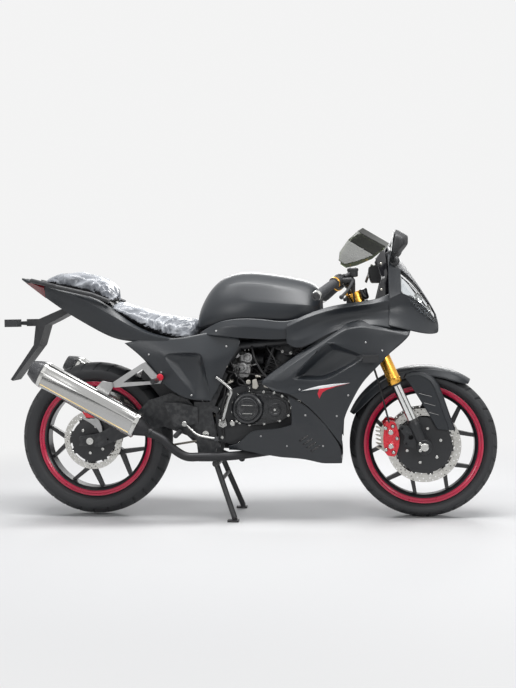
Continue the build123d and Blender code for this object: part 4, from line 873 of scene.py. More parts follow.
pts = right_side({"a": (450, 128, 742), "b": (505, 150, 775), "c": (560, 166, 794), "d": (640, 174, 799),
        "e": (720, 176, 792), "f": (800, 175, 778), "g": (884, 158, 814), "p": (470, 150, 736),
        "q": (540, 172, 730), "r": (620, 182, 722), "s": (700, 182, 716), "t": (790, 182, 713),
        "u": (845, 180, 728), "v": (885, 178, 750), "m1": (490, 148, 752), "m2": (555, 176, 770),
        "m3": (640, 186, 768), "m4": (720, 188, 758), "m5": (800, 186, 750), "m6": (860, 182, 772),})
faces = ["a b m1 p", "b c m2 m1", "c d m3 m2", "d e m4 m3", "e f m5 m4", "f g m6 m5", "g v m6", "p m1 m2 q",
         "q m2 m3 r", "r m3 m4 s", "s m4 m5 t", "t m5 m6 u", "u m6 v"]
skin("tank_cover_skins", pts, faces, "matt_paint", replaces=("tank_covers",),
     creases={"m1-m2-m3-m4-m5-m6": 0.5}, crease=0.1)

# %% [markdown]
# ## Tyres
# A road tyre has a smooth sidewall with fine rings and slanting grooves that start at the shoulder
# and reach towards the crown. The tyre is spun as a dense band, and the grooves are pressed into
# it by a rule on the angle and the place across, left and right staggered, so no image is needed.
# %% Tyres


def tyre_piece(name, body, centre, radius, width, flange, pitch):
    """A tyre as one dense band; grooves `pitch` radians apart are pressed into each shoulder."""
    x0, z0 = centre
    half = width / 2
    bead, seat = half * 0.62, flange - 5.0
    outer = [(-bead, flange + 0.4), (-half * 0.90, flange + 12),
        (-half * 0.99, seat + (radius - seat) * 0.45), (-half * 0.97, seat + (radius - seat) * 0.62),
        (-half * 0.86, radius - width * 0.165), (-half * 0.60, radius - width * 0.065),
        (-half * 0.30, radius - width * 0.012), (0, radius)]
    outer += [(-y, r) for y, r in reversed(outer[:-1])]
    line = [(p.x, p.y) for p in smooth_path([(y, r, 0) for y, r in outer], 5)]
    around = 720
    verts, faces = [], []
    for k in range(around):
        turn = 2 * pi * k / around
        for y, r in line:
            across = y / half
            deep = 0.0
            edge = abs(across)
            if 0.12 < edge < 0.96 and r > radius - width * 0.24:
                lean = (edge - 0.12) * 0.55 * pitch
                phase = (turn / pitch + (0.5 if y > 0 else 0) - lean / pitch) % 1.0
                wave = abs(phase - 0.5) * pitch * radius
                taper = min((edge - 0.12) / 0.15, (0.96 - edge) / 0.06, 1.0)
                deep = 5.5 * taper * max(0.0, min(1.0, (4.6 - wave) / 1.2))
            ring = 0.5 if 0.93 < edge and int(r / 2.2) % 5 == 0 else 0.0
            rr = r - deep - ring
            verts.append((x0 + rr * cos(turn), y, z0 + rr * sin(turn)))
    n = len(line)
    for k in range(around):
        m = (k + 1) % around
        faces += [(k * n + i, k * n + i + 1, m * n + i + 1, m * n + i) for i in range(n - 1)]
    base = len(verts)
    for k in range(around):
        turn = 2 * pi * k / around
        verts += [(x0 + seat * cos(turn), -bead, z0 + seat * sin(turn)),
                  (x0 + seat * cos(turn), bead, z0 + seat * sin(turn))]
    for k in range(around):
        m = (k + 1) % around
        a, b = base + 2 * k, base + 2 * m
        faces += [(k * n, m * n, b, a), (k * n + n - 1, a + 1, b + 1, m * n + n - 1), (a, b, b + 1, a + 1)]
    packed = body.replace("_wheel", "_tyre")
    return Shape().add(verts, faces).done(name, "tyre_rubber", body, "tyre", (packed,))


FRONT, REAR = (1320.0, 290.0), (0.0, 316.0)     # (x, z) of the axles
FRONT_WIDE, REAR_WIDE = 112.0, 140.0
FLANGE = 235.0
WHEELS = [   # body, axle, tyre radius, width, groove pitch in radians
    ("front_wheel", FRONT, 290.0, FRONT_WIDE, 2 * pi / 34),
    ("rear_wheel", REAR, 310.0, REAR_WIDE, 2 * pi / 32),
]
for body, centre, radius, width, pitch in WHEELS:
    tyre_piece(body + "_tread", body, centre, radius - 0.1, width, FLANGE, pitch)

# %% [markdown]
# ## Wheels
# Each wheel is a spun barrel with two lips, a hub, and five spokes that fork like a Y. The casting
# is drawn as a cage and rounded, because a cast spoke has no sharp edge. The crimson lips are two
# thin bands that lie on the black barrel, one at each flange.
# %% Cast wheels


def beam(a, b, wide_a, wide_b, deep_a, deep_b):
    """Tapering bar in the wheel's plane, a and b as (x, z)."""
    ax, bx = Vector((a[0], 0, a[1])), Vector((b[0], 0, b[1]))
    along = (bx - ax).normalized()
    side = Vector((-along.z, 0, along.x))
    verts = []
    for p, w, d in ((ax, wide_a, deep_a), (bx, wide_b, deep_b)):
        for s, h in ((1, 1), (1, -1), (-1, -1), (-1, 1)):
            verts.append(p + side * s * w / 2 + Vector((0, h * d, 0)))
    return verts, [(0, 1, 2, 3), (4, 7, 6, 5), (0, 4, 5, 1), (1, 5, 6, 2), (2, 6, 7, 3), (3, 7, 4, 0)]


RIM_WELL = 201


def wheel_piece(body, centre, width, hub_r, hub_half, first):
    """Barrel, hub, five forked spokes and the red bands of one wheel; `first` turns the spokes."""
    x, z = centre

    def spot(r, t):
        return x + r * cos(t), z + r * sin(t)

    half = width / 2 * 0.62 + 5.2
    shape = Shape()
    side = [(half - 5.4, 229.6), (half - 5.0, 233.6), (half - 1.2, 234), (half, 232.6), (half - 0.2, 227),
            (half - 2.6, 223.5), (half - 4.2, 222), (half - 6.4, 217), (half - 8.4, 214), (half - 14, 206),
            (half - 21, 201.4)]
    rim = side + [(-a, r) for a, r in reversed(side)]
    verts, faces = turned((x, 0, z), (x, 1, z), rim + [rim[0]], 180)
    faces = faces[:-2]
    shape.add(verts, faces)
    hub = [(-hub_half, hub_r - 8), (-hub_half + 3, hub_r - 3), (-16, hub_r), (16, hub_r), (hub_half - 3,
            hub_r - 3), (hub_half, hub_r - 8), (hub_half, 9), (-hub_half, 9), (-hub_half, hub_r - 8)]
    verts, faces = turned((x, 0, z), (x, 1, z), hub, 64)
    shape.add(verts, faces[:-2])
    knee_r = hub_r * 0.54 + RIM_WELL * 0.46
    for k in range(5):
        t = first + 2 * pi * k / 5
        shape.add(*beam(spot(hub_r - 7, t), spot(knee_r, t), 33, 23, 15, 14.5))
        for s in (-1, 1):
            out = t + s * radians(18)
            shape.add(*beam(spot(knee_r - 6, t), spot(205, out), 19, 14, 14, 11))
        kx, kz = spot(knee_r, t)
        shape.add(*turned((kx, -14, kz), (kx, 1, kz),
                          [(0, 10), (2, 12), (26, 12), (28, 10)], 24))
    shape.done(body + "_spokes", "wheel_black", body, "wheel_black", (body + "_casting",), bevel=3.0,
        segments=3)
    bands = Shape()
    for s in (-1, 1):
        lip = [(half + 0.1, 233.2), (half + 0.6, 231.4), (half + 0.3, 226.4), (half - 1.2, 225.2),
            (half + 0.2, 224.6), (half + 0.4, 223.4), (half - 1.6, 222.6), (half - 3.2, 219.6),
            (half - 5.6, 215.2), (half - 7.4, 214.2), (half - 8.6, 216), (half - 5, 222), (half - 2, 226),
            (half - 0.9, 233)]
        loop = [(s * a, r) for a, r in lip]
        verts, faces = turned((x, 0, z), (x, 1, z), loop + [loop[0]], 180)
        bands.add(verts, faces[:-2])
    bands.done(body + "_red_bands", "rim_red", body, "wheel_black")


wheel_piece("front_wheel", FRONT, FRONT_WIDE, 46.0, 59.0, radians(27))
wheel_piece("rear_wheel", REAR, REAR_WIDE, 52.0, 62.0, radians(41))

# %% [markdown]
# ## Brake discs, with Geometry Nodes
# A disc is a flat ring drilled all over. Two curve circles and rings of small hole circles are
# filled as one face, which leaves every hole open, and the face is pulled to its thickness. The
# hole rings are instances on a circle, so their number and size are inputs of the tree.
# %% Drilled rings


def tree_for(name, inputs):
    """A Geometry Nodes group with one mesh output and named inputs: (label, kind, value)."""
    g = bpy.data.node_groups.new(name, "GeometryNodeTree")
    ids = {}
    for label, kind, value in sorted(inputs, key=lambda row: row[1] != "Geometry"):
        s = g.interface.new_socket(label, in_out="INPUT", socket_type="NodeSocket" + kind)
        if value is not None:
            s.default_value = value
        ids[label] = s.identifier
    g.interface.new_socket("Geometry", in_out="OUTPUT", socket_type="NodeSocketGeometry")
    return g, node(g, "NodeGroupInput"), node(g, "NodeGroupOutput"), ids


def grown(name, tree, ids, values, dress, base=None):
    """Run a tree on an empty or given mesh and keep its result as a plain mesh object."""
    holder = bpy.data.objects.new(name + "_seed", base or bpy.data.meshes.new(name + "_seed"))
    bpy.context.scene.collection.objects.link(holder)
    mod = holder.modifiers.new("nodes", "NODES")
    mod.node_group = tree
    for label, value in values.items():
        mod[ids[label]] = value
    mod[ids["Finish"]] = FINISHES[dress]
    bpy.context.view_layer.update()
    deps = bpy.context.evaluated_depsgraph_get()
    mesh = bpy.data.meshes.new_from_object(holder.evaluated_get(deps))
    bpy.data.objects.remove(holder)
    mesh.name = name
    return bpy.data.objects.new(name, mesh)


g, gi, go, COPY_IDS = tree_for("copies_on_points", [("Thing", "Object", None), ("Finish", "Material", None),
                                                    ("Points", "Geometry", None)])
turn = node(g, "GeometryNodeInputNamedAttribute", data_type="FLOAT_VECTOR")
turn.inputs["Name"].default_value = "turn"
size = node(g, "GeometryNodeInputNamedAttribute", data_type="FLOAT_VECTOR")
size.inputs["Name"].default_value = "size"
spin = node(g, "FunctionNodeEulerToRotation", {0: turn.outputs["Attribute"]})
thing = node(g, "GeometryNodeObjectInfo", {"Object": gi.outputs["Thing"], "As Instance": True})
copied = node(g, "GeometryNodeInstanceOnPoints",
    {"Points": gi.outputs["Points"], "Instance": thing.outputs["Geometry"], "Rotation": spin.outputs[0],
        "Scale": size.outputs["Attribute"]})
real = node(g, "GeometryNodeRealizeInstances", {"Geometry": copied.outputs[0]})
dressed = node(g, "GeometryNodeSetMaterial", {"Geometry": real.outputs[0], "Material": gi.outputs["Finish"]})
g.links.new(dressed.outputs[0], go.inputs[0])
COPIES = g


def facing(direction):
    """Rotation that turns a thing made along +z towards a direction."""
    return Vector(direction).to_track_quat("Z", "Y").to_euler()


def copies(name, thing, places, dress, body, replaces=(), angle=30):
    """One mesh of many small copies: places = [(point in mm, euler, size)], by Geometry Nodes."""
    verts, loops = thing
    proto = bpy.data.meshes.new(name + "_one")
    proto.from_pydata([tuple(c / 1000 for c in v) for v in verts], [], loops)
    master = bpy.data.objects.new(name + "_one", proto)
    bpy.context.scene.collection.objects.link(master)
    outward(master)
    points = bpy.data.meshes.new(name + "_points")
    points.from_pydata([at(*p) for p, _, _ in places], [], [])
    turns = points.attributes.new("turn", "FLOAT_VECTOR", "POINT")
    turns.data.foreach_set("vector", [c for _, e, _ in places for c in e])
    sizes = points.attributes.new("size", "FLOAT_VECTOR", "POINT")
    sizes.data.foreach_set("vector",
        [c for _, _, k in places for c in (k if isinstance(k, tuple) else (k, k, k))])
    obj = grown(name, COPIES, COPY_IDS, {"Thing": master}, dress, points)
    bpy.data.objects.remove(master)
    adopt(obj, None, body, replaces, angle)
    print(name, len(places), "copies")
    return obj


SOCKET_BOLT = turned((0, 0, 0), (0, 0, 1), [(-2, 5.5), (3.6, 5.6), (4.4, 4.8), (4.4, 2.9), (1.6, 2.7)], 12)
DOME_BOLT = turned((0, 0, 0), (0, 0, 1),
    [(-2, 6.4), (0.6, 6.4), (2.2, 5.4), (3.2, 3.6), (3.2, 2.4), (1.8, 2.2)], 12)
HEX_BOLT = turned((0, 0, 0), (0, 0, 1), [(-1, 8.4), (0.8, 8.4), (0.8, 6.2), (4.6, 6.2), (5.4, 5.2)], 6)

g, gi, go, DISC_IDS = tree_for("drilled_ring", [
    ("Outer", "Float", 0.145), ("Inner", "Float", 0.117), ("Hole", "Float", 0.0028), ("Holes", "Int", 30),
    ("Rows", "Int", 3), ("Twist", "Float", 0.07), ("Thick", "Float", 0.0045), ("Finish", "Material", None)])
outer = node(g, "GeometryNodeCurvePrimitiveCircle", {"Resolution": 128, "Radius": gi.outputs["Outer"]})
inner = node(g, "GeometryNodeCurvePrimitiveCircle", {"Resolution": 96, "Radius": gi.outputs["Inner"]})
hole = node(g, "GeometryNodeCurvePrimitiveCircle", {"Resolution": 10, "Radius": gi.outputs["Hole"]})
count = maths(g, "MULTIPLY", gi.outputs["Holes"], gi.outputs["Rows"])
line = node(g, "GeometryNodeMeshLine", {"Count": count, "Start Location": (0, 0, 0), "Offset": (0, 0, 0)})
index = node(g, "GeometryNodeInputIndex").outputs[0]
row = maths(g, "MODULO", index, gi.outputs["Rows"])
step = maths(g, "FLOOR", maths(g, "DIVIDE", index, gi.outputs["Rows"]))
turn = maths(g, "MULTIPLY", maths(g, "DIVIDE", step, gi.outputs["Holes"]), 2 * pi)
skewed = maths(g, "MULTIPLY_ADD", row, gi.outputs["Twist"], turn)
share = maths(g, "DIVIDE", maths(g, "ADD", row, 0.5), gi.outputs["Rows"])
radius = node(g, "ShaderNodeMapRange", {"Value": share, "To Min": gi.outputs["Inner"],
                                        "To Max": gi.outputs["Outer"]}).outputs[0]
spot = node(g, "ShaderNodeCombineXYZ", {0: maths(g, "MULTIPLY", maths(g, "COSINE", skewed), radius),
                                        1: maths(g, "MULTIPLY", maths(g, "SINE", skewed), radius)})
placed = node(g, "GeometryNodeSetPosition", {"Geometry": line.outputs[0], "Position": spot.outputs[0]})
circles = node(g, "GeometryNodeInstanceOnPoints", {"Points": placed.outputs[0], "Instance": hole.outputs[0]})
real = node(g, "GeometryNodeRealizeInstances", {"Geometry": circles.outputs[0]})
joined = node(g, "GeometryNodeJoinGeometry")
for part in (outer.outputs[0], inner.outputs[0], real.outputs[0]):
    g.links.new(part, joined.inputs[0])
filled = node(g, "GeometryNodeFillCurve", {"Curve": joined.outputs[0]}, mode="TRIANGLES")
flipped = node(g, "GeometryNodeFlipFaces", {"Mesh": filled.outputs[0]})
pulled = node(g, "GeometryNodeExtrudeMesh", {"Mesh": filled.outputs[0], "Offset Scale": gi.outputs["Thick"],
                                             "Individual": False})
closed = node(g, "GeometryNodeJoinGeometry")
for part in (flipped.outputs[0], pulled.outputs[0]):
    g.links.new(part, closed.inputs[0])
welded = node(g, "GeometryNodeMergeByDistance", {"Geometry": closed.outputs[0], "Distance": 0.00001})
dressed = node(g, "GeometryNodeSetMaterial",
    {"Geometry": welded.outputs[0], "Material": gi.outputs["Finish"]})
g.links.new(dressed.outputs[0], go.inputs[0])
DRILLED = g


def drilled_disc(name, centre, y_mid, outer, inner, holes, body, replaces=()):
    """A brake ring of the given radii in mm, three rows of holes deep, on its wheel."""
    obj = grown(name, DRILLED, DISC_IDS, {"Outer": outer / 1000, "Inner": inner / 1000, "Hole": 0.0026,
            "Holes": holes, "Rows": 3, "Twist": 0.075, "Thick": 0.0045}, "disc_steel")
    place = Matrix.Translation(at(centre[0], y_mid + 2.25, centre[1])) @ Matrix.Rotation(pi / 2, 4, "X")
    obj.data.transform(place)
    outward(obj)
    adopt(obj, None, body, replaces, 30)
    print(name, len(obj.data.polygons), "faces")
    return obj


drilled_disc("front_disc_right", FRONT, -63.0, 144.8, 117, 34, "front_wheel", ("front_discs",))
drilled_disc("front_disc_left", FRONT, 63.0, 144.8, 117, 34, "front_wheel")
drilled_disc("rear_disc_ring", REAR, -80.0, 118.8, 96, 28, "rear_wheel", ("rear_disc",))

# %% [markdown]
# ## Disc carriers
# The ring floats on a black carrier: a flanged cup on the hub whose ten short arms end in round
# buttons. Screws with hexagon sockets hold the carrier to the hub.
# %% Disc carriers


def around(centre, y, radius, count, first, side, size):
    """Places for copies on a circle round an axle, that face out to one side."""
    x, z = centre
    turns = [first + 2 * pi * k / count for k in range(count)]
    return [((x + radius * cos(t), y, z + radius * sin(t)), facing((0, side, 0)), size) for t in turns]


def carrier(name, centre, y_mid, hub_y, ring_inner, flange_r, arms, body, side):
    """The black cup between hub and ring, with its arms, buttons and screws."""
    x, z = centre
    shape = Shape()
    face = y_mid + side * 1.5
    verts, faces = turned((x, min(hub_y, face), z), (x, max(hub_y, face) + 1, z),
        [(0, flange_r - 3), (0.8, flange_r), (abs(face - hub_y) - 0.8, flange_r),
            (abs(face - hub_y), flange_r - 2), (abs(face - hub_y), 24), (0, 24), (0, flange_r - 3)], 60)
    shape.add(verts, faces[:-2])
    for k in range(arms):
        t = radians(30) + 2 * pi * k / arms
        a = (x + (flange_r - 6) * cos(t), z + (flange_r - 6) * sin(t))
        b = (x + (ring_inner + 4) * cos(t), z + (ring_inner + 4) * sin(t))
        shape.add(*beside(beam(a, b, 30, 17, 1.9, 1.9), y_mid))
    shape.done(name, "satin_black", body, "disc_steel", bevel=0.8)
    buttons = around(centre, y_mid + side * 2.2, ring_inner + 2, arms, radians(30), side, 1.0)
    screws = around(centre, face, flange_r * 0.62, 6, 0.3, side, 1.1)
    button = turned((0, 0, 0), (0, 0, 1), [(-6, 6.4), (1.2, 6.4), (2, 5.6), (2, 3.2), (0.6, 3)], 14)
    copies(name + "_buttons", button, buttons, "bright_steel", body)
    copies(name + "_screws", SOCKET_BOLT, screws, "bright_steel", body)


carrier("front_carrier_right", FRONT, -63.0, -59.2, 117, 110, 10, "front_wheel", -1)
carrier("front_carrier_left", FRONT, 63.0, 59.2, 117, 110, 10, "front_wheel", 1)
carrier("rear_carrier", REAR, -80.0, -62.2, 96, 88, 8, "rear_wheel", -1)

# %% [markdown]
# ## Mufflers
# Each can is a rolled tube of polished steel whose section is a soft shield, taller than wide, with
# a fold line along its flank. Both ends are clamped in a thin band, a gold pinstripe runs low along
# the side, and a dark woven cap closes the rear round the outlet pipe.
# %% Mufflers
CAN_A, CAN_B = Vector((218, -230, 388)), Vector((-159, -230, 594))
CAN_ALONG = (CAN_B - CAN_A).normalized()
CAN_UP = Vector((0, 1, 0)).cross(CAN_ALONG).normalized()
CAN_UP = CAN_UP if CAN_UP.z > 0 else -CAN_UP
CAN_LONG = (CAN_B - CAN_A).length
SHIELD = [(0, 51.5), (22, 50), (37, 40), (43.5, 20), (45.6, 12), (45, -8), (40, -28), (30, -42), (14, -49.5)]
SHIELD += [(0, -51.5)] + [(-a, b) for a, b in reversed(SHIELD[1:])]


def closed_smooth(points, steps=4):
    """Points on a closed Catmull-Rom curve through the given ones."""
    n = len(points)
    out = []
    for i in range(n):
        p0, p1, p2, p3 = (Vector(points[(i + k) % n]) for k in (-1, 0, 1, 2))
        for k in range(steps):
            t = k / steps
            out.append(0.5 * ((2 * p1) + (p2 - p0) * t + (2 * p0 - 5 * p1 + 4 * p2 - p3) * t * t
                              + (3 * p1 - p0 - 3 * p2 + p3) * t ** 3))
    return out


SECTION = closed_smooth(SHIELD, 4)


def can_run(stations, section=None):
    """Loft along the can: stations of (mm along from the front end, scale)."""
    section = section or SECTION
    verts, faces, n = [], [], len(section)
    for s, k in stations:
        c = CAN_A + CAN_ALONG * s
        verts += [c + Vector((0, 1, 0)) * (-p[0] * k) + CAN_UP * (p[1] * k) for p in section]
    for i in range(len(stations) - 1):
        for k in range(n):
            m = (k + 1) % n
            faces.append((i * n + k, i * n + m, (i + 1) * n + m, (i + 1) * n + k))
    faces += [tuple(range(n - 1, -1, -1)), tuple(range((len(stations) - 1) * n, len(stations) * n))]
    return verts, faces


piece("muffler_cans", "chrome", "chassis", "muffler_polish", ("mufflers",), angle=40, both=True, bits=[
    can_run([(6, 0.93), (10, 0.975), (CAN_LONG - 12, 0.975), (CAN_LONG - 8, 0.93)]),
])
piece("muffler_bands", "bright_steel", "chassis", "muffler_polish", angle=24, both=True, bits=[
    *(can_run([(s, 0.96), (s + 1.5, 1.0), (s + 14, 1.0), (s + 15.5, 0.96)]) for s in (0, CAN_LONG - 20)),
])
edge = min((p for p in SECTION if p[0] > 0), key=lambda p: abs(p[1] + 33))
run = []
for s, grow in ((16, 0.2), (18, 1.2), (CAN_LONG - 24, 1.2), (CAN_LONG - 22, 0.2)):
    c = CAN_A + CAN_ALONG * s
    for up_by, out_by in ((-2.6, -1.2), (-2.2, grow), (2.2, grow), (2.6, -1.2)):
        run.append(c + Vector((0, -1,
                0)) * (edge[0] * 0.975 + out_by - up_by * 0.35) + CAN_UP * (edge[1] * 0.975 + up_by))
faces = [(4 * i + k, 4 * i + k + 1, 4 * i + k + 5, 4 * i + k + 4) for i in range(3) for k in range(3)]
faces += [(4 * i + 3, 4 * i, 4 * i + 4, 4 * i + 7) for i in range(3)] + [(3, 2, 1, 0), (12, 13, 14, 15)]
piece("muffler_pinstripes", "gold_stripe", "chassis", "muffler_polish", both=True, bits=[(run, faces)])

# %% [markdown]
# The rear cap is woven carbon cloth under lacquer: a twill whose two thread directions catch the light in
# turn. That sheen is painted: the checker's cells alternate a dark and a lighter colour. The weave is a
# shader on Object coordinates, turned into line with the can.
# %% Woven caps
m, tree = new_tree("woven_carbon")
coords = node(tree, "ShaderNodeTexCoord")
level = node(tree, "ShaderNodeMapping",
    {"Vector": coords.outputs["Object"], "Rotation": (0, radians(28.7), 0), "Scale": (260, 260, 260)})
# Painted sheen: the checker's lighter cells stand for the thread direction that catches the light.
cells = node(tree, "ShaderNodeTexChecker", {"Vector": level.outputs[0], "Scale": 1.0,
        "Color1": (0.012, 0.012, 0.014, 1), "Color2": (0.075, 0.078, 0.085, 1)})
weave = node(tree, "ShaderNodeTexWave", {"Vector": level.outputs[0], "Scale": 0.9, "Distortion": 0.0},
             bands_direction="DIAGONAL")
shine = node(tree, "ShaderNodeMapRange", {"Value": weave.outputs["Fac"], "To Min": 0.22, "To Max": 0.42})
relief = node(tree, "ShaderNodeBump", {"Height": weave.outputs["Fac"], "Strength": 0.25, "Distance": 0.0006})
shader = node(tree, "ShaderNodeBsdfPrincipled", {"Base Color": cells.outputs["Color"],
        "Roughness": shine.outputs[0], "Normal": relief.outputs[0], "Coat Weight": 0.4})
node(tree, "ShaderNodeOutputMaterial", {"Surface": shader.outputs[0]})
FINISHES["woven_carbon"] = m
end = CAN_LONG - 7
profile = [(end, 0.94), (end + 3, 0.965), (end + 20, 0.90), (end + 40, 0.72), (end + 52.6, 0.60)]
piece("muffler_caps", "woven_carbon", "chassis", "muffler_polish", angle=40, both=True, bits=[
    can_run(profile),
])
tip = CAN_A + CAN_ALONG * (end + 30)
rim = [(0, 24), (22.4, 24), (22.9, 23), (22.9, 20.6), (21, 20.2), (2, 20.2), (1.6, 0.5)]
piece("muffler_outlets", "pipe_black", "chassis", "muffler_polish", angle=40, both=True, bits=[
    turned(tip, tip + CAN_ALONG, rim, 40),
])
cone = [(-46, 19), (-44, 20.5), (-10, 36), (2, 41), (7, 42), (7, 30), (-46, 18)]
v, f = turned(CAN_A, CAN_B, cone, 40)
piece("muffler_cones", "pipe_black", "chassis", "muffler_polish", angle=30, both=True, bits=[(v, f)])

# %% [markdown]
# ## Seats in their wrapping
# The bike stands as delivered: each vinyl cushion is still wrapped in clear film. The cushion
# itself is a padded form, so it is swollen by a short cloth simulation from a slightly smaller
# shape. The film is a second thin sheet, drawn over the cushion and crumpled in ridges that run
# where it is pulled tight.
# %% Padded cushions
SEATS = [   # name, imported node, rows of x, top, half width, bottom
    ("rider", "rider_seat", [
        (88, 864, 100, 842), (110, 862, 112, 824), (150, 846, 119, 798), (240, 817, 124, 752),
        (330, 794, 122, 722), (392, 786, 106, 710), (418, 790, 92, 714), (430, 800, 80, 736)]),
    ("pillion", "pillion_seat", [
        (-196, 962, 48, 946), (-180, 970, 64, 940), (-140, 981, 84, 934), (-60, 986, 104, 918),
        (20, 968, 114, 894), (64, 944, 113, 872), (84, 916, 104, 866)]),
]


def cushion_mesh(name, rows):
    """The cushion's rounded form from its rows, with an even net of points for the cloth."""
    sections = []
    for x, top, half, low in rows:
        mid = (top + low) / 2 + 3
        sections.append((x, [(0, top), (half * 0.55, top - 2), (half * 0.88, top - 9), (half, mid),
                             (half * 0.93, low + 1), (half * 0.6, low), (0, low)]))
    pts, faces = shell_rows(sections)
    keys = list(pts)
    mesh = bpy.data.meshes.new(name)
    mesh.from_pydata([at(*pts[k]) for k in keys], [],
        [tuple(keys.index(k) for k in f.split()) for f in faces])
    obj = bpy.data.objects.new(name, mesh)
    bpy.context.scene.collection.objects.link(obj)
    outward(obj)
    smooth = obj.modifiers.new("round_off", "SUBSURF")
    smooth.levels = smooth.render_levels = 2
    grain = obj.modifiers.new("voxels", "REMESH")
    grain.mode, grain.voxel_size = "VOXEL", 0.005
    return bake_modifiers(obj)


def bake_modifiers(obj):
    """Apply every modifier by taking the evaluated mesh."""
    deps = bpy.context.evaluated_depsgraph_get()
    mesh = bpy.data.meshes.new_from_object(obj.evaluated_get(deps))
    obj.modifiers.clear()
    obj.data = mesh
    return obj


def swell(obj, pressure=3.5, frames=20, cap=0.006):
    """Blow the cushion up a little with cloth, and cap how far any point moves."""
    rest = np.array([v.co for v in obj.data.vertices])
    cloth = obj.modifiers.new("cloth", "CLOTH")
    cloth.settings.use_pressure = True
    cloth.settings.uniform_pressure_force = pressure
    cloth.settings.effector_weights.gravity = 0
    scene = bpy.context.scene
    for f in range(1, frames + 1):
        scene.frame_set(f)
    deps = bpy.context.evaluated_depsgraph_get()
    grown_mesh = bpy.data.meshes.new_from_object(obj.evaluated_get(deps))
    obj.modifiers.clear()
    after = np.array([v.co for v in grown_mesh.vertices])
    move = after - rest
    far = np.linalg.norm(move, axis=1, keepdims=True)
    after = rest + move * np.minimum(1, cap / np.maximum(far, 1e-9))
    for v, co in zip(obj.data.vertices, after):
        v.co = co
    scene.frame_set(1)


for name, packed, rows in SEATS:
    cushion = cushion_mesh(name + "_cushion", rows)
    swell(cushion)
    adopt(cushion, "vinyl", "chassis", (packed,), 180)
    print(name, "cushion", len(cushion.data.vertices), "points")

# %% [markdown]
# ## The film
# Thin film wrinkles in sharp ridges with flat facets between them, at several sizes at once. Each ridge is a
# fold of a noise field, one minus its absolute value, stretched along the pull. The same height is kept as an
# attribute, so that the finish can be less clear on the ridges and carry painted light: a painted highlight
# makes the ridges whiter and painted shade darkens the valleys.
# The noise library starts its vectors at a random place, so its seed is fixed first.
# %% Crumpled film
FOLD_SEED = 7
noise.seed_set(FOLD_SEED)
m, tree = new_tree("clear_film")
tall = node(tree, "ShaderNodeAttribute", attribute_name="crumple")
coords = node(tree, "ShaderNodeTexCoord")
fine = node(tree, "ShaderNodeTexVoronoi", {"Vector": coords.outputs["Object"], "Scale": 60.0},
            feature="DISTANCE_TO_EDGE")
haze = node(tree, "ShaderNodeMapRange", {"Value": tall.outputs["Fac"], "From Min": 0.1, "From Max": 0.8,
                                         "To Min": 0.86, "To Max": 0.98})
# Painted highlight and shade: the colour runs from dark in the valleys to whitish on the ridges, for the
# glints on the creases and the shade between them.
tone = node(tree, "ShaderNodeMix",
    {0: tall.outputs["Fac"], 6: (0.13, 0.14, 0.16, 1), 7: (0.50, 0.52, 0.55, 1)}, data_type="RGBA")
gloss = node(tree, "ShaderNodeMapRange", {"Value": tall.outputs["Fac"], "To Min": 0.24, "To Max": 0.40})
creased = node(tree, "ShaderNodeBump",
    {"Height": fine.outputs["Distance"], "Strength": 0.16, "Distance": 0.0016})
shader = node(tree, "ShaderNodeBsdfPrincipled", {"Base Color": tone.outputs[2], "Alpha": haze.outputs[0],
                                                 "Roughness": gloss.outputs[0], "Normal": creased.outputs[0],
                                                 "Coat Weight": 0.3, "Coat Roughness": 0.12})
node(tree, "ShaderNodeOutputMaterial", {"Surface": shader.outputs[0]})
FINISHES["clear_film"] = m


def ridge(p, scale, stretch, angle, seed):
    """A fold of noise: 1 on a ridge line and 0 between, longer along its own direction."""
    u = p.x * cos(angle) + p.y * sin(angle)
    v = p.y * cos(angle) - p.x * sin(angle)
    n = noise.noise(Vector((u * scale / stretch, v * scale, p.z * scale * 0.7 + seed)))
    return max(0.0, 1 - abs(n) * 3.2)


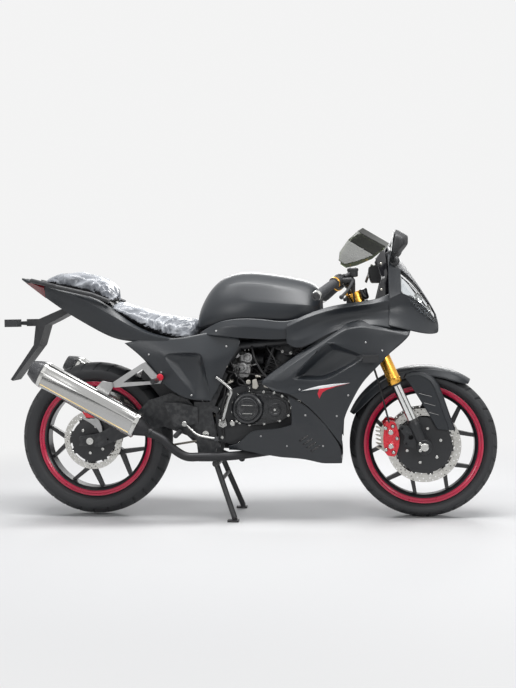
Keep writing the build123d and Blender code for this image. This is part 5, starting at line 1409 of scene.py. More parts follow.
def film_over(name, cushion, rows, pull, flat):
    """A crumpled sheet on a cushion; `pull` gives the folds' direction at (x, y) in mm."""
    stations, undersides = zip(*sorted((row[0], row[3]) for row in rows))
    bm = bmesh.new()
    bm.from_mesh(cushion.data)
    bm.normal_update()
    drop = []
    for f in bm.faces:
        c = f.calc_center_median()
        x_mm = c.x * 1000 + MIDDLE
        floor_z = float(np.interp(x_mm, stations, undersides)) / 1000
        if f.normal.z < -0.35 or c.z < floor_z + 0.004:
            drop.append(f)
    bmesh.ops.delete(bm, geom=drop, context="FACES")
    bmesh.ops.subdivide_edges(bm, edges=bm.edges, cuts=1, use_grid_fill=True)
    bmesh.ops.smooth_vert(bm, verts=bm.verts, factor=0.5, use_axis_x=True, use_axis_y=True, use_axis_z=True)
    bm.normal_update()
    heights = {}
    for v in bm.verts:
        p = v.co.copy()
        p += noise.noise_vector(p * 14) * 0.010
        a = pull(p.x * 1000 + MIDDLE, p.y * 1000)
        h = 0.55 * ridge(p, 15, 4.4, a, 1.0) ** 1.4 + 0.30 * ridge(p, 33, 4.4, a + 0.35, 5.0) ** 1.5
        h += 0.20 * ridge(p, 26, 3.4, a - 0.8, 9.0) ** 1.5 + 0.06 * ridge(p, 70, 3.4, a + 0.1, 3.0)
        heights[v.index] = min(1.0, h)
    moved = [(v, v.co + v.normal * (0.0015 + 0.0085 * heights[v.index])) for v in bm.verts]
    for v, co in moved:
        v.co = co
    mesh = bpy.data.meshes.new(name)
    bm.verts.index_update()
    order = [heights[i] for i in range(len(bm.verts))]
    bm.to_mesh(mesh)
    bm.free()
    layer = mesh.attributes.new("crumple", "FLOAT", "POINT")
    layer.data.foreach_set("value", order)
    obj = bpy.data.objects.new(name, mesh)
    adopt(obj, "clear_film", "chassis", (), 180)
    thin = obj.modifiers.new("thin", "SOLIDIFY")
    thin.thickness, thin.offset = 0.0003, 1
    area = sum(f.area for f in mesh.polygons)
    print(name, "area", round(area, 4), "against the cut", flat[0] * flat[1])
    return obj


def rider_pull(x, y):
    """Fore part: folds run to the sides; rear part: nearly along the bike."""
    side = 1 if y < 0 else -1
    return -0.9 * side * min(1, max(0, (x - 240) / 160)) + 0.25 * side


def pillion_pull(x, y):
    return 0.6 * (1 if y < 0 else -1)


film_over("rider_film", bpy.data.objects["rider_cushion"], SEATS[0][2], rider_pull, (0.36, 0.40))
film_over("pillion_film", bpy.data.objects["pillion_cushion"], SEATS[1][2], pillion_pull, (0.36, 0.32))

# %% [markdown]
# ## Fork legs
# Each leg is gold anodised tube at the top, chromed tube that slides below it, and a black casting
# at the foot that carries axle and brake. The slide tube enters through a dust seal, and the gold
# tube ends in a machined collar. All are turned about the leg's own line.
# %% Fork legs
AXLE_X, AXLE_Z = FRONT
RAKE_TAN = tan(radians(23.7))
LEG_Y = -98.0


def leg_x(z):
    """Where the leg's line is along the bike at a height."""
    return AXLE_X - (z - AXLE_Z) * RAKE_TAN


def on_leg(z, y=LEG_Y):
    """The point of a leg at a height."""
    return Vector((leg_x(z), y, z))


def leg_turned(z_low, z_high, profile, sides=40):
    """Turned bit between two heights of a leg; the profile's distances are shares of its length."""
    a, b = on_leg(z_low), on_leg(z_high)
    long = (b - a).length
    return turned(a, b, [(s * long if s <= 1 else long, r) for s, r in profile], sides)


piece("fork_gold_tubes", "gold_anodised", "steering", "gold_anodised", ("fork_uppers",), angle=28,
    both=True, bits=[
    leg_turned(536.5, 880, [(0, 20), (0, 26.2), (0.006, 27), (0.05, 27), (0.056, 25.4), (0.075, 25.4),
            (0.08, 24.6), (0.62, 24.6), (0.63, 25), (0.985, 25), (0.995, 24.4), (1, 23), (1, 15)]),
])
top, above = on_leg(880), on_leg(900)
piece("fork_top_caps", "bright_steel", "steering", "bare_steel", angle=28, both=True, bits=[
    turned(top, above, [(-4, 14.8), (1.2, 14.8), (2, 14), (2, 9), (-2, 8.6), (-2, 4), (3, 3.6), (4, 2)],
        6 * 5),
])
piece("fork_slide_tubes", "fork_chrome", "steering", "stanchion_chrome", ("fork_stanchions",), both=True,
    bits=[
    leg_turned(384.5, 536, [(0, 15), (0, 18), (1, 18), (1, 15)], 48),
])
piece("fork_dust_seals", "hose_rubber", "steering", "satin_black_metal", angle=30, both=True, bits=[
    leg_turned(380, 396, [(0, 18.2), (0, 22), (0.3, 22.6), (0.55, 21.5), (0.8, 20.6), (1, 18.4)], 40),
    leg_turned(528, 538, [(0, 18.3), (0.1, 23), (0.5, 24.5), (1, 24.5)], 40),
])
lug = [(leg_x(366) + 6, 366), (leg_x(360) - 60, 372), (leg_x(352) - 70, 362), (leg_x(320) - 62, 330),
       (leg_x(300) - 76, 306), (leg_x(296) - 70, 294), (leg_x(AXLE_Z) - 20, 276), (leg_x(285), 280)]
piece("fork_feet", "satin_black", "steering", "satin_black_metal", ("fork_lowers",), bevel=1.6, both=True,
    bits=[
    leg_turned(300, 384,
        [(0, 21), (0.02, 22), (0.8, 22), (0.84, 22.5), (0.98, 22.5), (1, 21.6), (1, 18.3)], 40),
    turned((AXLE_X, -122, AXLE_Z), (AXLE_X, -76, AXLE_Z),
        [(0, 15), (0, 25), (2, 28), (6, 29), (40, 29), (44, 28), (46, 25), (46, 15)], 44),
    cut(lug, LEG_Y - 6, LEG_Y + 8,
        [(leg_x(362) - 54, 360, 5.5), (leg_x(302) - 64, 302, 5.5), (leg_x(330) - 34, 326, 10)]),
])
piece("front_axle_nuts", "bright_steel", "steering", "bare_steel", ("front_axle",), angle=25, bits=[
    pair(turned((AXLE_X, -134, AXLE_Z), (AXLE_X, -110, AXLE_Z),
            [(0, 8), (0, 11.5), (1.5, 13.6), (7, 13.6), (8, 15.5), (11.8, 15.8), (12, 8)], 6 * 4)),
    bar((AXLE_X, -131, AXLE_Z), (AXLE_X, 131, AXLE_Z), 7.8),
    *(pair(turned((AXLE_X + dx, -124.5, AXLE_Z + dz), (AXLE_X + dx, -110, AXLE_Z + dz),
           [(0, 3), (0, 5), (1, 6), (6, 6), (6, 2)], 12)) for dx, dz in ((-17, 13), (-17, -13))),
])

# %% [markdown]
# ## Front calipers
# A radial caliper is two blocks of aluminium that straddle the disc, joined by bolts. Each half has
# cooling ribs and a raised boss over the piston; the pads hang on a pin that shows from behind. The
# red is a hard gloss anodising, so the edges are rounded to catch the light.
# %% Calipers
CAL_X, CAL_Z, CAL_Y = 1196.0, 316.0, -63.0
back = [(-22, 72), (4, 71), (14, 66), (25, 34), (30, 2), (27, -28), (15, -62), (6, -67), (-18, -63),
    (-27, -50), (-33, -20), (-34, 8), (-30, 40)]
piece("front_caliper_bodies", "caliper_red", "steering", "caliper_red", ("front_calipers",), bevel=2.2,
    segments=3, both=True, bits=[
    *(cut([(CAL_X + a, CAL_Z + b) for a, b in back], y0, y1)
           for y0, y1 in ((CAL_Y - 26, CAL_Y - 5.2), (CAL_Y + 5.2, CAL_Y + 13))),
    cut([(CAL_X + a, CAL_Z + b) for a, b in [(-34, 56), (-22, 72), (-6, 71), (-18, 40), (-24, 8)]],
        CAL_Y - 6, CAL_Y + 6),
    cut([(CAL_X + a, CAL_Z + b) for a, b in [(-24, -10), (-20, -38), (-12, -64), (-20, -62), (-34, -44)]],
        CAL_Y - 6, CAL_Y + 6),
    *(turned((CAL_X - 4, CAL_Y - 27, CAL_Z + dz), (CAL_X - 4, CAL_Y, CAL_Z + dz),
           [(-3, 12), (-2, 15), (1, 18), (3, 18)], 30) for dz in (-26, 28)),
])
ribs = [[(CAL_X - 28, low + 1), (CAL_X - 58, low + 12), (CAL_X - 62, low + 16.5), (CAL_X - 28, low + 8)]
        for low in (CAL_Z - 46 + 16 * k for k in range(6))]
piece("front_caliper_fins", "zinc_steel", "steering", "caliper_red", bevel=0.8, both=True, bits=[
    *(bit for rib in ribs
           for bit in (cut(rib, CAL_Y - 23.5, CAL_Y - 5.2), cut(rib, CAL_Y + 5.2, CAL_Y + 9.5))),
    cut([(CAL_X - 30, CAL_Z - 48), (CAL_X - 38, CAL_Z - 44), (CAL_X - 44, CAL_Z + 42),
            (CAL_X - 34, CAL_Z + 58), (CAL_X - 26, CAL_Z + 40)], CAL_Y - 19, CAL_Y - 16),
])
piece("front_caliper_bolts", "bright_steel", "steering", "caliper_red", angle=28, both=True, bits=[
    *(turned((CAL_X + dx, CAL_Y - 32, CAL_Z + dz),
           (CAL_X + dx, CAL_Y, CAL_Z + dz), [(0, 3), (0, 5.2), (1, 6.2), (6, 6.2), (6, 8), (8, 8)], 12)
           for dx, dz in ((4, 52), (6, -50), (20, 4), (-24, 44), (-24, -40))),
    *(turned((CAL_X - 4, CAL_Y - 31.6, CAL_Z + dz), (CAL_X - 4, CAL_Y, CAL_Z + dz),
           [(0, 3), (0, 9), (1.5, 10.5), (4, 10.5)], 24) for dz in (-26, 28)),
    bar((CAL_X - 30, CAL_Y - 20, CAL_Z - 4), (CAL_X - 30, CAL_Y + 11, CAL_Z - 4), 3.4),
    swept([(CAL_X - 36, CAL_Y - 18, CAL_Z + 34), (CAL_X - 42, CAL_Y - 14, CAL_Z + 14),
            (CAL_X - 36, CAL_Y - 16, CAL_Z - 20)], 2.2, 8),
])

# %% [markdown]
# ## Front mudguard
# The mudguard is one shell over the tyre, drawn as a grid of angles round the axle and points across.
# A crease runs along each shoulder, and its blade reaches down beside the fork with a bright rim and three
# short slits: each slit is a gloss black strip of painted shade laid on the blade, with a thin silver line of
# painted highlight along its lower lip.
# %% Front mudguard
GUARD_ROWS = [   # angle, outer radius, half width, how far the skirt drops
    (54, 314, 44, 20), (60, 314.5, 60, 34), (70, 314.5, 68, 40), (82, 314.5, 70, 40), (95, 314.5, 70, 40),
    (110, 314.5, 70, 40), (125, 314.5, 70, 40), (140, 314, 68, 38), (150, 313, 60, 30), (156, 312, 48, 16),
]
pts, faces = {}, []
for i, (turn_by, r, half, drop) in enumerate(GUARD_ROWS):
    a = radians(turn_by)
    for j, (share, down) in enumerate(((0, 0), (0.36, 0.6), (0.66, 5), (0.9, 13), (1.0, drop))):
        q = r - down
        pts[f"g{i}_{j}"] = (AXLE_X + q * cos(a), -half * share, AXLE_Z + q * sin(a))
        if j:
            pts[f"g{i}_{-j}"] = (AXLE_X + q * cos(a), half * share, AXLE_Z + q * sin(a))
order = [-4, -3, -2, -1, 0, 1, 2, 3, 4]
for i in range(len(GUARD_ROWS) - 1):
    for a, b in zip(order, order[1:]):
        faces.append(f"g{i}_{a} g{i+1}_{a} g{i+1}_{b} g{i}_{b}")
creases = {chain_of("g", j, len(GUARD_ROWS)): sharp for j, sharp in ((3, 0.75), (1, 0.35))}
skin("front_mudguard_shell", pts, faces, "matt_paint", body="steering",
    replaces=("front_mudguard",), creases=creases, crease=0.0, both=False, wall=2.6, levels=2)
OUT = [(1243, 557), (1252, 574), (1278, 582), (1310, 581), (1338, 573), (1362, 556), (1380, 530),
    (1400, 476), (1422, 410), (1443, 350)]
INN = [(1252, 552), (1262, 560), (1282, 566), (1308, 565), (1330, 556), (1348, 542), (1362, 518),
    (1380, 468), (1400, 404), (1419, 351)]
BACK = [(1374, 355), (1330, 430), (1288, 500), (1262, 541)]
piece("front_mudguard_blades", "matt_paint", "steering", "body_paint", bevel=0.8, both=True, bits=[
    cut(INN + BACK, -77.5, -74),
])
n = len(OUT)
verts = [(px, -70.5, pz) for px, pz in OUT] + [(px * 0.72 + qx * 0.28, -77.5, pz * 0.72 + qz * 0.28)
    for (px, pz), (qx, qz) in zip(OUT, INN)]
verts += [(px, -80.5, pz) for px, pz in INN] + [(px, -73.5, pz) for px, pz in INN]
faces = [(j * n + k, j * n + k + 1, (j + 1) % 4 * n + k + 1, (j + 1) % 4 * n + k) for j in range(4)
    for k in range(n - 1)]
faces += [(0, n, 2 * n, 3 * n), (4 * n - 1, 3 * n - 1, 2 * n - 1, n - 1)]
piece("front_mudguard_rims", "matt_paint", "steering", "body_paint", bevel=0.8, angle=30, both=True,
    bits=[
    (verts, faces),
])
# Painted shade: each slit is a gloss black strip laid on the blade where its opening would be in shade.
cuts = [((1302 + 19 * k, 498 - 37 * k), (1352 + 13 * k, 484 - 36 * k)) for k in range(3)]
lips = [((1303 + 19 * k, 495 - 37 * k), (1352 + 13 * k, 482 - 36 * k)) for k in range(3)]
piece("front_mudguard_slits", "gloss_black", "steering", "body_paint", both=True,
      bits=[beside(beam(a, b, 4.2, 2.2, 0.9, 0.9), -77.9) for a, b in cuts])
# Painted highlight: a thin silver line along each slit's lower lip.
piece("front_mudguard_slit_lips", "cast_silver", "steering", "body_paint", both=True,
      bits=[beside(beam(a, b, 1.6, 1.2, 0.9, 0.9), -78.3) for a, b in lips])

# %% [markdown]
# ## Engine
# The open window under the tank shows a single cylinder with fins, its carburettor and a round
# clutch cover. Fins are copies of one rounded plate on a line of points, so their number is the
# length of a list. The covers carry raised rings and pockets, and a dozen screws each.
# %% Cylinder and fins
TILT = radians(20)
CYL = Vector((738, 0, 535))
CYL_UP = Vector((sin(TILT), 0, cos(TILT)))
CYL_FORE = Vector((cos(TILT), 0, -sin(TILT)))


def on_cylinder(up, fore=0.0, y=0.0):
    """A point by its height on the leaning cylinder, its distance forward and across."""
    return CYL + CYL_UP * up + CYL_FORE * fore + Vector((0, y, 0))


def rounded_plate(half_x, half_y, radius, thick):
    """Plate about its own origin with round corners, thickness along z, closed."""
    line, in_x, in_y = [], half_x - radius, half_y - radius
    corners = ((in_x, in_y), (-in_x, in_y), (-in_x, -in_y), (in_x, -in_y))
    for (cx, cy), start in zip(corners, (0, pi / 2, pi, 1.5 * pi)):
        turns = [start + pi / 2 * k / 4 for k in range(5)]
        line += [(cx + radius * cos(t), cy + radius * sin(t)) for t in turns]
    n = len(line)
    inset = [(px * 0.985, py * 0.985) for px, py in line]
    verts = [(px, py, 0) for px, py in inset] + [(px, py, thick * 0.3) for px, py in line]
    verts += [(px, py, thick * 0.7) for px, py in line] + [(px, py, thick) for px, py in inset]
    faces = [tuple(range(n - 1, -1, -1)), tuple(range(3 * n, 4 * n))]
    for i in range(3):
        faces += [(i * n + k, i * n + (k + 1) % n, (i + 1) * n + (k + 1) % n, (i + 1) * n + k)
            for k in range(n)]
    return verts, faces


lean = Matrix(((CYL_FORE.x, 0, CYL_UP.x), (0, 1, 0), (CYL_FORE.z, 0, CYL_UP.z))).to_euler()
fin = rounded_plate(68, 64, 18, 4.0)
rows = [(on_cylinder(18 + 14 * k), lean, 1.0) for k in range(6)]
rows += [(on_cylinder(16 + 14 * k + 8), lean, (0.9, 0.9, 0.6)) for k in range(5)]
copies("cylinder_fins", fin, rows, "cast_black", "chassis", ("engine_cylinder",))
STUDS = [(-56, -52), (56, -52), (-56, 52), (56, 52)]
head = rounded_plate(60, 54, 14, 40)
lid = rounded_plate(48, 46, 18, 16)
piece("cylinder_barrel", "cast_black", "chassis", "engine_black", bevel=1.2, bits=[
    turned(on_cylinder(0), on_cylinder(1), [(-22, 50), (-20, 52), (128, 52), (132, 50)], 40),
    *(bar(on_cylinder(4, fore * 0.95, y), on_cylinder(136, fore * 0.95, y), 7, 1, 14)
           for fore, y in STUDS),
    ([on_cylinder(132 + z, px, py) for px, py, z in head[0]], head[1]),
    ([on_cylinder(170 + z, px, py) for px, py, z in lid[0]], lid[1]),
    turned(on_cylinder(150, 0, -52), on_cylinder(150, 0, -53),
        [(0, 30), (6, 30), (9, 27), (9, 20), (7, 18)], 32),
    turned(on_cylinder(152, 58, 0), on_cylinder(152, 59, 0), [(0, 24), (5, 24), (5, 18)], 24),
])
fin = rounded_plate(66, 57, 16, 3.6)
copies("head_fins", fin, [(on_cylinder(139 + 12 * k), lean, 1.0) for k in range(3)], "cast_black", "chassis")
studs = [(on_cylinder(150 + 10, f, -54.5), facing((0, -1, 0)), 1.0) for f in (-34, 34)]
studs += [(on_cylinder(188, f, y), facing(CYL_UP), 1.0) for f in (-34, 34) for y in (-34, 34)]
studs += [(on_cylinder(150 + 23 * cos(t), 23 * sin(t), -61.5), facing((0, -1, 0)), 0.8)
          for t in (0.6, 2.2, 3.8, 5.4)]
copies("cylinder_screws", HEX_BOLT, studs, "bright_steel", "chassis")
piece("spark_plug_cap", "hose_rubber", "chassis", "engine_black", angle=30, bits=[
    turned(on_cylinder(146, 26, -52), on_cylinder(176, 60, -96),
        [(0, 8), (6, 8), (7, 11), (24, 12), (26, 9), (44, 8), (46, 5)], 20),
    swept([on_cylinder(168, 52, -84), on_cylinder(196, 70, -98), on_cylinder(206, 20, -92),
            on_cylinder(190, -60, -80)], 3.6, 10),
])

# %% [markdown]
# ## Cases and covers
# The crankcase keeps its packed outline but gains ribs and flanges. On the right sits the clutch
# cover: a spun dome with a raised ring, two pockets pressed into its middle, and a pump housing
# that runs forward from it.
# %% Crankcase and covers
CASE = [(505, 430), (520, 466), (556, 516), (620, 536), (700, 558), (770, 522), (838, 482), (848, 440),
    (848, 384), (826, 350), (798, 318), (720, 302), (640, 294), (560, 304), (520, 314), (508, 360)]
middle = [((px - 672) * 0.975 + 672, (pz - 425) * 0.975 + 425) for px, pz in CASE]
piece("crankcase_body", "cast_black", "chassis", "engine_black", ("engine_crankcase",), bevel=2.0, angle=30,
    bits=[
    cut(CASE, -117.6, -6),
    cut([(px if px > 600 else 601, pz) for px, pz in CASE if px > 560], 6, 117.6),
    cut(middle, -6.5, 75),
    cut([(560, 300), (740, 304), (730, 286), (590, 282)], -70, 70),
    *(cut([(610 + 30 * k, 300), (616 + 30 * k, 300), (616 + 30 * k, 284), (610 + 30 * k, 284)], -84, 84)
           for k in range(5)),
    turned((780, -118, 500), (780, -40, 560), [(0, 14), (3, 17), (60, 17)], 24),
])

cx, cz = 638.0, 446.0
dome = [(0, 62), (0, 65.4), (3, 66), (24, 65), (33, 62), (39, 57.5), (41.5, 53), (42.3, 50), (40.6, 48.6),
    (40.4, 46.6), (43.5, 45), (47.5, 43), (49.6, 40), (49.8, 34), (48.4, 32.6), (48.4, 0)]
flange = [(588, 392), (600, 384), (640, 376), (700, 380), (764, 392), (800, 414), (812, 446), (806, 474),
    (776, 494), (742, 508), (700, 512), (640, 512), (596, 500), (574, 470), (570, 430)]
inner = [((px - 688) * 0.90 + 690, (pz - 444) * 0.86 + 443) for px, pz in flange]
pump = [(690, 410), (740, 398), (778, 408), (792, 436), (786, 466), (752, 482), (706, 478)]
RIBS = [((664, 500), (740, 488)), ((668, 388), (742, 394))]
piece("clutch_cover", "cover_black", "chassis", "engine_black", ("engine_covers",), bevel=2.6, angle=24,
    segments=3, bits=[
    turned((cx, -118.2, cz), (cx, -119, cz), dome, 64),
    cut(flange, -129, -118.2),
    cut(inner, -140, -128.5),
    cut(pump, -148, -139.5),
    turned((744, -147.8, 440), (744, -149, 440), [(0, 26), (3, 24), (4, 16), (2, 14), (2, 0)], 32),
    *(beside(beam(a, b, 7, 5, 5, 4), -139) for a, b in RIBS),
])


def badge_outline(dz, half, high, low):
    """A flat oval `dz` above the clutch cover's middle, with its own curve above and below."""
    turns = [pi * k / 16 for k in range(17)]
    line = [(cx + half * cos(t), cz + dz + 2 + 7.5 * sin(t) * high) for t in turns]
    line += [(cx + half * cos(pi + t), cz + dz - 2 + 7.5 * sin(pi + t) * low) for t in turns]
    return [((px - cx) * 1.10 + cx, (pz - cz - dz) * 1.35 + cz + dz) for px, pz in line]


piece("clutch_cover_badges", "cast_black", "chassis", "engine_black", bevel=1.0, angle=30, bits=[
    cut(badge_outline(15, 24, 0.55, 0.3), -168.6, -166.4),
    cut(badge_outline(-17, 22, 0.3, 0.9), -168.6, -166.4),
])
piece("clutch_cover_edges", "bright_steel", "chassis", "engine_black", angle=30, bits=[
    *(beside(beam((cx - half, cz + dz), (cx + half, cz + dz - 1), 2.2, 2.2, 0.7, 0.7), -168.9)
           for dz, half in ((14, 21), (-18, 19))),
    turned((744, -150, 440), (744, -151.4, 440), [(0, 6), (1.4, 5), (1.4, 2.4)], 6),
    turned((575, -124, 386), (575, -136, 386), [(0, 12), (8, 12), (11, 9)], 24),
])

plate_l = [(532, 332), (542, 312), (602, 312), (640, 372), (632, 420), (608, 478), (542, 468), (532, 420)]
piece("generator_cover", "cover_black", "chassis", "engine_black", bevel=2.4, angle=26, segments=3,
    bits=[
    turned((660, 118.2, 440), (660, 119, 440), [(0, 60), (0, 63.4), (3, 64), (24, 63), (31, 59), (32, 50),
            (33, 46), (38, 41), (40, 34), (40, 0)], 64),
    cut(plate_l, 118.4, 131),
    cut([((px - 580) * 0.86 + 580, (pz - 395) * 0.88 + 395) for px, pz in plate_l], 130.6, 136),
])
CASE_SCREWS = [(520, 440), (532, 330), (560, 500), (640, 524), (700, 540), (826, 366), (790, 328), (836, 470),
               (600, 306), (700, 312)]
right_facing, left_facing = facing((0, -1, 0)), facing((0, 1, 0))
screws = [(((px - 690) * 0.955 + 690, -129, (pz - 444) * 0.94 + 444), right_facing, 0.95)
    for px, pz in flange]
screws += around((660, 440), 142, 57, 8, 0.2, 1, 0.9)
screws += [((px, -117.6, pz), right_facing, 1.15) for px, pz in CASE_SCREWS]
screws += [((px, 136, pz), left_facing, 1.0) for px, pz in ((545, 345), (548, 450), (600, 330), (612, 440))]
copies("engine_screws", SOCKET_BOLT, screws, "bright_steel", "chassis")

# %% [markdown]
# ## Carburettor, cables and hoses
# The carburettor is a small silver casting between two rubber boots: a round slide tower with its
# cap, a float bowl with a drain screw, a throttle wheel and its cable. Thin hoses run from it down
# past the gearbox, and a bundle of wires crosses above the clutch.
# %% Carburettor
piece("carburettor_body", "cast_silver", "chassis", "cast_aluminium", ("carburettor",), bevel=1.4, angle=30,
    bits=[
    turned((572, 0, 629), (640, 0, 629),
        [(-8, 24), (0, 27), (6, 30), (34, 31), (60, 29), (66, 25), (70, 24)], 36),
    turned((604, -8, 592), (604, -8, 680),
        [(-4, 26), (4, 28), (30, 28), (34, 31), (58, 31), (62, 28), (74, 24), (78, 8)], 36),
    cut([(568, 614), (642, 614), (638, 580), (628, 562), (584, 560), (572, 580)], -44, 34),
    turned((604, -44, 600), (604, -60, 600), [(0, 22), (6, 22), (8, 18), (8, 12), (14, 10), (14, 4)], 28),
    turned((628, -40, 640), (628, -58, 640), [(0, 17), (3, 19), (6, 19), (7, 12), (14, 11), (15, 5)], 28),
    turned((584, -36, 650), (584, -54, 650), [(0, 12), (10, 12), (12, 8)], 20),
    bar((572, -50, 588), (596, -66, 620), 4, 0.8, 12),
    bar((640, -52, 606), (668, -58, 616), 3.5, 0.8, 12),
    turned((600, -34, 562), (600, -34, 552), [(0, 14), (6, 14), (8, 9), (10, 9)], 6),
])
piece("carburettor_boots", "moulded_black", "chassis", "black_plastic", bevel=3.0, angle=36, bits=[
    turned((640, 0, 628), (690, 0, 628),
        [(0, 25), (4, 28), (10, 28), (12, 24), (20, 27), (28, 23), (40, 26), (50, 26)], 32),
    turned((566, 0, 629), (500, 0, 640),
        [(0, 28), (6, 31), (14, 31), (16, 27), (34, 30), (52, 34), (66, 40)], 32),
    *(cut(pts_of, low, high) for low, high, pts_of in ((-64,
           64, [(448, 606), (550, 606), (552, 690), (552, 734), (452, 732), (446, 700)]),
           (-62, 62, [(552, 686), (708, 686), (712, 700), (710, 730), (552, 736)]))),
    cut([(470, 640), (536, 640), (536, 716), (470, 716)], -66.5, -63.5),
    cut([(570, 700), (690, 700), (690, 724), (570, 724)], -64.5, -61.5),
])
studs = [((604 + 26 * cos(t), -8 + 26 * sin(t), 668), facing((0, 0, 1)), 0.8) for t in (0.5, 2.1, 3.7, 5.2)]
studs += [((px, -44, pz), facing((0, -1, 0)), 0.75)
    for px, pz in ((578, 606), (634, 606), (582, 582), (628, 582))]
copies("carburettor_screws", SOCKET_BOLT, studs, "bright_steel", "chassis")
HOSES = [   # radius, points: looms, breather, fuel pipe and cables beside the engine
    (3.2, [(604, -8, 690), (596, -60, 716), (560, -96, 700), (528, -112, 640), (520, -118, 560)]),
    (4.2, [(584, -52, 590), (566, -92, 570), (548, -112, 530), (540, -122, 470),
           (532, -124, 400), (540, -122, 330)]),
    (3.0, [(598, -60, 600), (592, -92, 560), (600, -120, 540), (640, -124, 532),
           (700, -126, 540), (760, -124, 516)]),
    (5.0, [(660, -60, 716), (652, -92, 690), (664, -108, 640), (690, -112, 590),
           (720, -118, 560), (770, -120, 530)]),
    (2.6, [(640, -56, 604), (668, -84, 590), (694, -110, 566), (716, -124, 536), (724, -130, 508)]),
    (3.4, [(556, -104, 660), (576, -112, 610), (604, -120, 566), (632, -126, 536), (640, -128, 508)]),
    (6.0, [(560, -110, 520), (548, -120, 486), (536, -122, 452), (520, -116, 420)]),
    (3.0, [(700, -70, 700), (716, -104, 676), (740, -112, 640), (756, -114, 600), (792, -116, 560)]),
    (2.6, [(520, -108, 600), (556, -116, 590), (600, -122, 584), (660, -122, 578), (700, -120, 572)]),
]
piece("engine_hoses", "hose_rubber", "chassis", "engine_black", angle=60, bits=[
    *(swept(points, r, 10, 5) for r, points in HOSES),
])
CLIPS = [   # two points of the axis, radius
    ((560, -118, 548), (590, -126, 556), 9), ((668, -112, 572), (700, -122, 566), 8),
    ((760, -112, 560), (788, -124, 548), 10), ((640, -120, 548), (640, -132, 548), 9),
    ((548, -110, 612), (548, -124, 612), 10),
]
piece("engine_fittings", "zinc_steel", "chassis", "engine_black", bevel=0.8, angle=30, bits=[
    *(turned(a, b, [(0, r - 2), (1, r), (12, r), (13, r - 3), (22, r - 3)], 20) for a, b, r in CLIPS),
    cut([(656, 556), (672, 560), (680, 530), (670, 520), (656, 524)], -134, -122),
    cut([(700, 540), (752, 520), (756, 512), (700, 528)], -128, -118),
])

# %% [markdown]
# ## Exhaust, kick lever and pedals
# The exhaust pipe keeps its route, with a soft bend at each corner and rings of weld. The kick
# lever is a forged bar with two bends and a knurled foot; pedal and gear lever are alike.
# %% Exhaust pipes and levers
up_pipe = CAN_A - CAN_ALONG * 112
end = CAN_A - CAN_ALONG * 46.4
port = on_cylinder(160, 62)
head_pipe = [(port.x, -30, port.z), (port.x + 30, -34, port.z - 6), (908, -43, 660), (930, -45, 560),
    (935, -45, 420), (922, -45, 330), (880, -43, 292), (800, -26, 274), (720, 0, 262)]
side_pipe = [(732, 0, 262), (690, -50, 262), (640, -104, 262), (590, -150, 262), (545, -172, 262),
    (460, -192, 263), (400, -201, 266), tuple(up_pipe.lerp(Vector((388, -205, 262)), 0.45)), tuple(up_pipe),
    tuple(end)]
piece("exhaust_pipe_run", "pipe_black", "chassis", "pipe_black", ("exhaust_pipes",), angle=40, bits=[
    swept(head_pipe, 17, 24, 6),
    pair(swept(side_pipe, 17, 24, 5)),
    pair(turned(end - CAN_ALONG * 14, end, [(0, 17), (1, 20), (9, 20), (10, 17)], 28)),
])
piece("kick_and_pedals", "chrome", "chassis", "bare_steel", ("foot_levers",), bevel=1.0, angle=36, bits=[
    swept([(537, -146, 392), (544, -162, 410), (551, -172, 432), (564, -176, 476), (578, -178, 516),
            (560, -181, 540), (521, -186, 572)], [8, 7.5, 7, 6.6, 6.6, 6, 6], 14, 6),
    turned((537, -117, 392), (537, -152, 392),
        [(0, 15), (2, 17), (20, 17), (24, 14), (33, 13), (35, 10)], 30),
    cut([(524, 404), (550, 404), (556, 380), (540, 370), (522, 378)], -150, -134),
    *(bit for s, low, tip in ((-1, 337, (520, -186, 332)), (1, 342, (540, 186, 352)))
           for bit in (swept([(386, 148 * s, 388),
           (410, 152 * s, 368), (440, 166 * s, 346), (480, 178 * s, low), tip], [6, 5.5, 5, 5, 5], 12, 5),
           turned((387, 144 * s, 386), (387, 156 * s, 386), [(0, 9), (1, 11), (10, 11), (12, 9)], 24))),
])
piece("lever_rubbers", "grip_rubber", "chassis", "bare_steel", angle=40, bits=[
    bar((520, -180, 332), (520, -214, 334), 8, 1.5, 18),
    bar((540, 180, 352), (540, 214, 354), 8, 1.5, 18),
])

# %% [markdown]
# ## Bars and hand controls
# Each clip-on bar runs out, back and down from the top of its fork leg. The grip is ribbed rubber
# with a turned bar end, and inboard of it sit the switch housing, the lever on its perch, and on
# the right the brake reservoir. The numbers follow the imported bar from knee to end.
# %% Bars and hand controls
KNEE, BAR_TIP = Vector((1014, -176, 950)), Vector((920, -350, 876))


def on_bar(share):
    """The point at a share of the way from the bar's knee to its tip."""
    return KNEE.lerp(BAR_TIP, share)


def along_bar(low, high, profile, sides=32):
    """Something turned about the bar from one share of its length towards another."""
    return turned(on_bar(low), on_bar(high), profile, sides)


